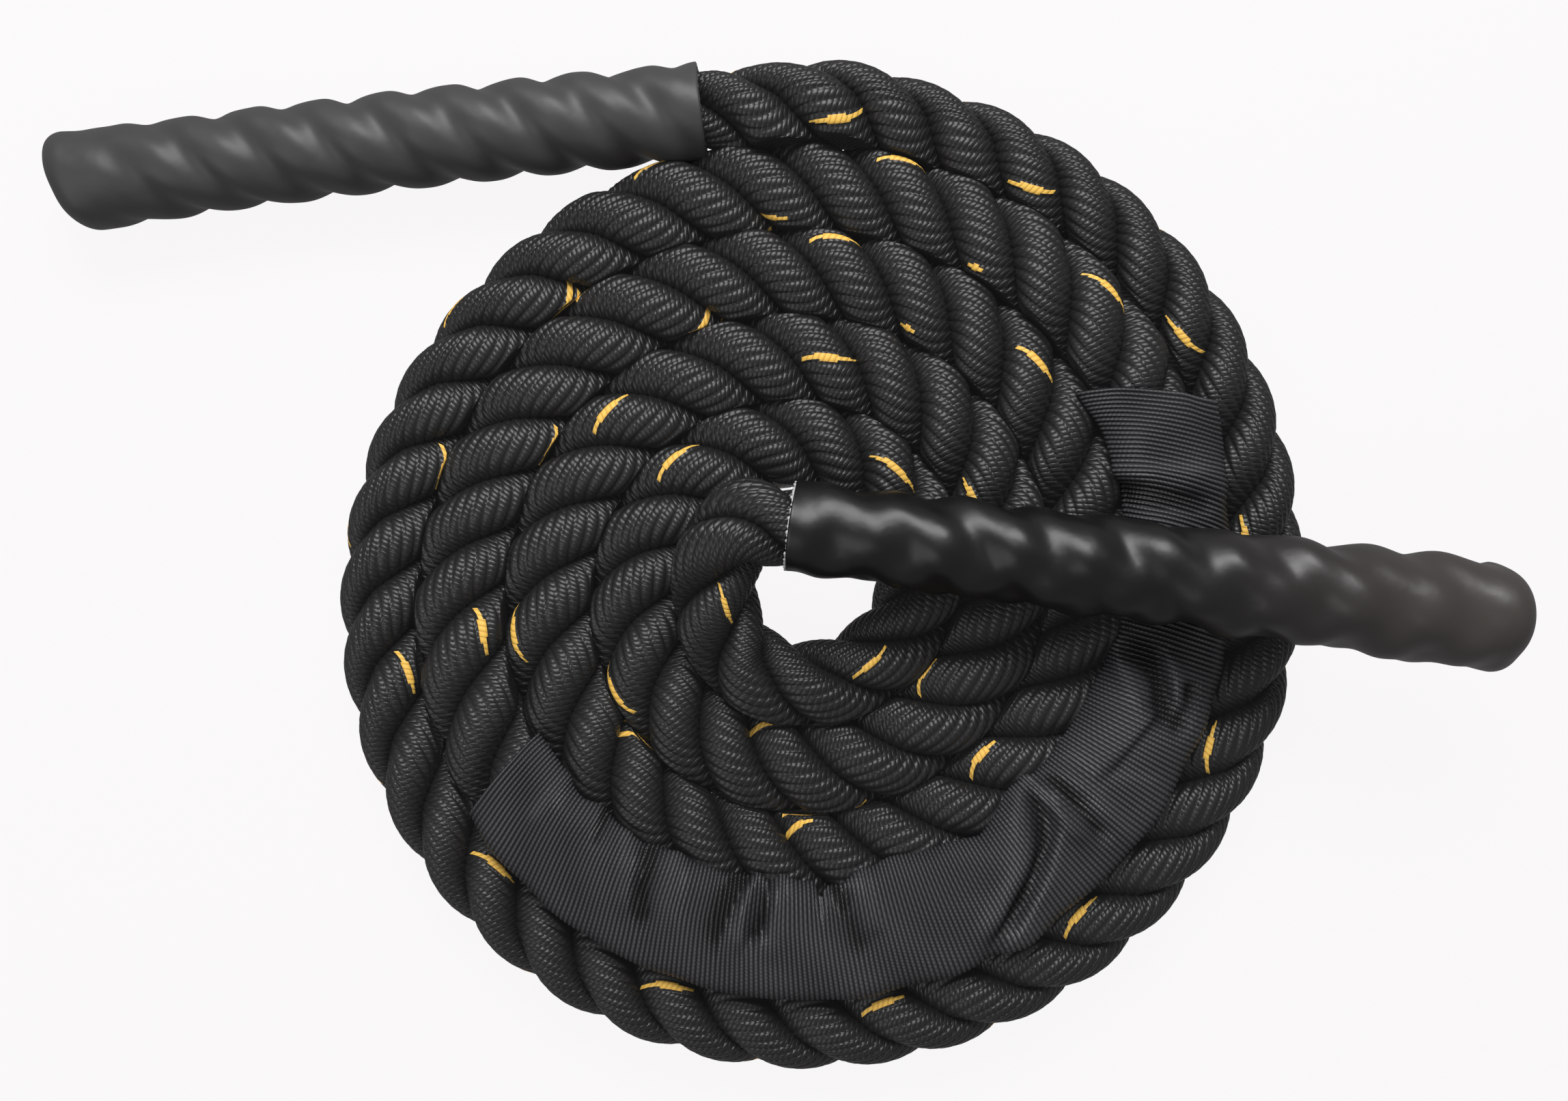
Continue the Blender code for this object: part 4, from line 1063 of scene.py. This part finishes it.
def build_rope(looks):
    """The rope's sections and the two stretches that bend at the handles."""
    route = Route()
    inner = direction(INNER_YAW, INNER_PITCH)
    lead_end = route.ring_at(ROPE_INSIDE_MOUTH + LEAD_LENGTH)
    lead_start = route.ring_at(route.length - ROPE_INSIDE_MOUTH - LEAD_LENGTH)
    outer_lead = add_strands(route, "outer_lead_strands", 0, lead_end, looks)
    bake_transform(outer_lead)
    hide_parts("rope_outer_lead")
    inner_lead = add_strands(route, "inner_lead_strands", lead_start, route.count, looks)
    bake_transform(inner_lead)
    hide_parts("rope_inner_lead")
    cuts = np.linspace(lead_end, lead_start, ROPE_SECTIONS + 1).round().astype(int)
    for i, (first, last) in enumerate(zip(cuts, cuts[1:])):
        section = add_strands(route, f"rope_strands_{i + 1}", first, last, looks)
        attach(section, "rope")
        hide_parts("rope_coil")


# Floor, backdrop and lights: place, size and power of each lamp, which faces the frame's origin
FLOOR_REACH = 3.0
FLOOR_SINK = 0.2 * MM
FLOOR_COLOUR = (0.025, 0.025, 0.025)
FLOOR_ROUGHNESS = 0.9
FLOOR_TINT = (1.0, 0.985, 0.992, 1.0)
FLOOR_LIGHT = 0.921
FLOOR_MIRRORED_SHARE = 0.3
BACKDROP_SEEN = 0.92
BACKDROP_LIGHT = 0.25
LAMPS = {
    "key_softbox": ((0.0, 0.62, 0.68), (0.6, 0.4), 7.8),
    "fill_softbox": ((-0.7, -0.5, 0.9), (0.8, 0.8), 3.0),
}


def add_camera():
    data = bpy.data.cameras.new("camera")
    data.sensor_fit = "HORIZONTAL"
    data.sensor_width = CAMERA_SENSOR_MM
    data.lens = CAMERA_LENS_MM
    data.clip_start = CAMERA_CLIP_START
    camera = bpy.data.objects.new("camera", data)
    camera.location = CAMERA_PLACE
    bpy.context.scene.collection.objects.link(camera)
    bpy.context.scene.camera = camera


def add_lamps():
    for name, (place, size, power) in LAMPS.items():
        data = bpy.data.lights.new(name, "AREA")
        data.shape = "RECTANGLE"
        data.size, data.size_y = size
        data.energy = power
        lamp = bpy.data.objects.new(name, data)
        lamp.location = place
        lamp.rotation_euler = Vector(place).to_track_quat("Z", "Y").to_euler()
        bpy.context.scene.collection.objects.link(lamp)


def add_floor():
    """A floor that the camera sees as near white, and that lights the rope from below more weakly."""
    reach = FLOOR_REACH
    mesh = bpy.data.meshes.new("floor")
    corners = [(-reach, -reach, 0.0), (reach, -reach, 0.0), (reach, reach, 0.0), (-reach, reach, 0.0)]
    mesh.from_pydata(corners, [], [(0, 1, 2, 3)])
    floor = bpy.data.objects.new("floor", mesh)
    floor.location.z = -FLOOR_SINK
    bpy.context.scene.collection.objects.link(floor)
    made, tree, shader = new_material("pale_floor", FLOOR_COLOUR, FLOOR_ROUGHNESS)
    n = Nodes(tree)
    rays = n.put("ShaderNodeLightPath")
    bounced = n.math("MAXIMUM", rays.outputs["Is Glossy Ray"], rays.outputs["Is Diffuse Ray"])
    mirrored = n.math("MULTIPLY", bounced, FLOOR_MIRRORED_SHARE)
    seen = n.math("MAXIMUM", rays.outputs["Is Camera Ray"], mirrored)
    shader.inputs["Emission Color"].default_value = FLOOR_TINT
    n.feed(shader.inputs["Emission Strength"], n.math("MULTIPLY", seen, FLOOR_LIGHT))
    mesh.materials.append(made)


def add_world():
    world = bpy.data.worlds.new("studio")
    world.use_nodes = True
    backdrop = world.node_tree.nodes["Background"]
    backdrop.inputs[0].default_value = (1.0, 1.0, 1.0, 1.0)
    n = Nodes(world.node_tree)
    rays = n.put("ShaderNodeLightPath")
    seen = n.math("MULTIPLY", rays.outputs["Is Camera Ray"], BACKDROP_SEEN)
    n.feed(backdrop.inputs[1], n.math("MAXIMUM", seen, BACKDROP_LIGHT))
    bpy.context.scene.world = world


def main():
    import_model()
    bpy.context.scene.view_settings.view_transform = "Standard"
    add_camera()
    add_world()
    add_floor()
    add_lamps()
    black = yarn_material("black_yarn", BLACK_YARN, BLACK_GROOVE_PAINTED_LIGHT, ROUGHNESS["black"])
    orange = yarn_material("orange_tracer_yarn", ORANGE_YARN_AND_HIGHLIGHT, ORANGE_GROOVE_PAINTED_SHADE, ROUGHNESS["orange"])
    build_rope((black, orange))
    grey = jacket_material("grey_jacket", GREY_JACKET, ROUGHNESS["grey_jacket"])
    black_to_greyer_tip = (BLACK_JACKET, ROUGHNESS["black_jacket"], GREYER_TIP_JACKET, GREYER_TIP_FROM_TO)
    fold_shade_and_tip_tone = jacket_material("black_jacket", *black_to_greyer_tip)
    build_handles({"outer": grey, "inner": fold_shade_and_tip_tone})
    build_beads({
        "outer": new_material("dark_adhesive", DARK_ADHESIVE, ROUGHNESS["adhesive"])[0],
        "inner": new_material("pale_adhesive", PALE_ADHESIVE, ROUGHNESS["adhesive"])[0],
    })
    build_sleeve(webbing_material("ribbed_webbing", WEBBING))


main()
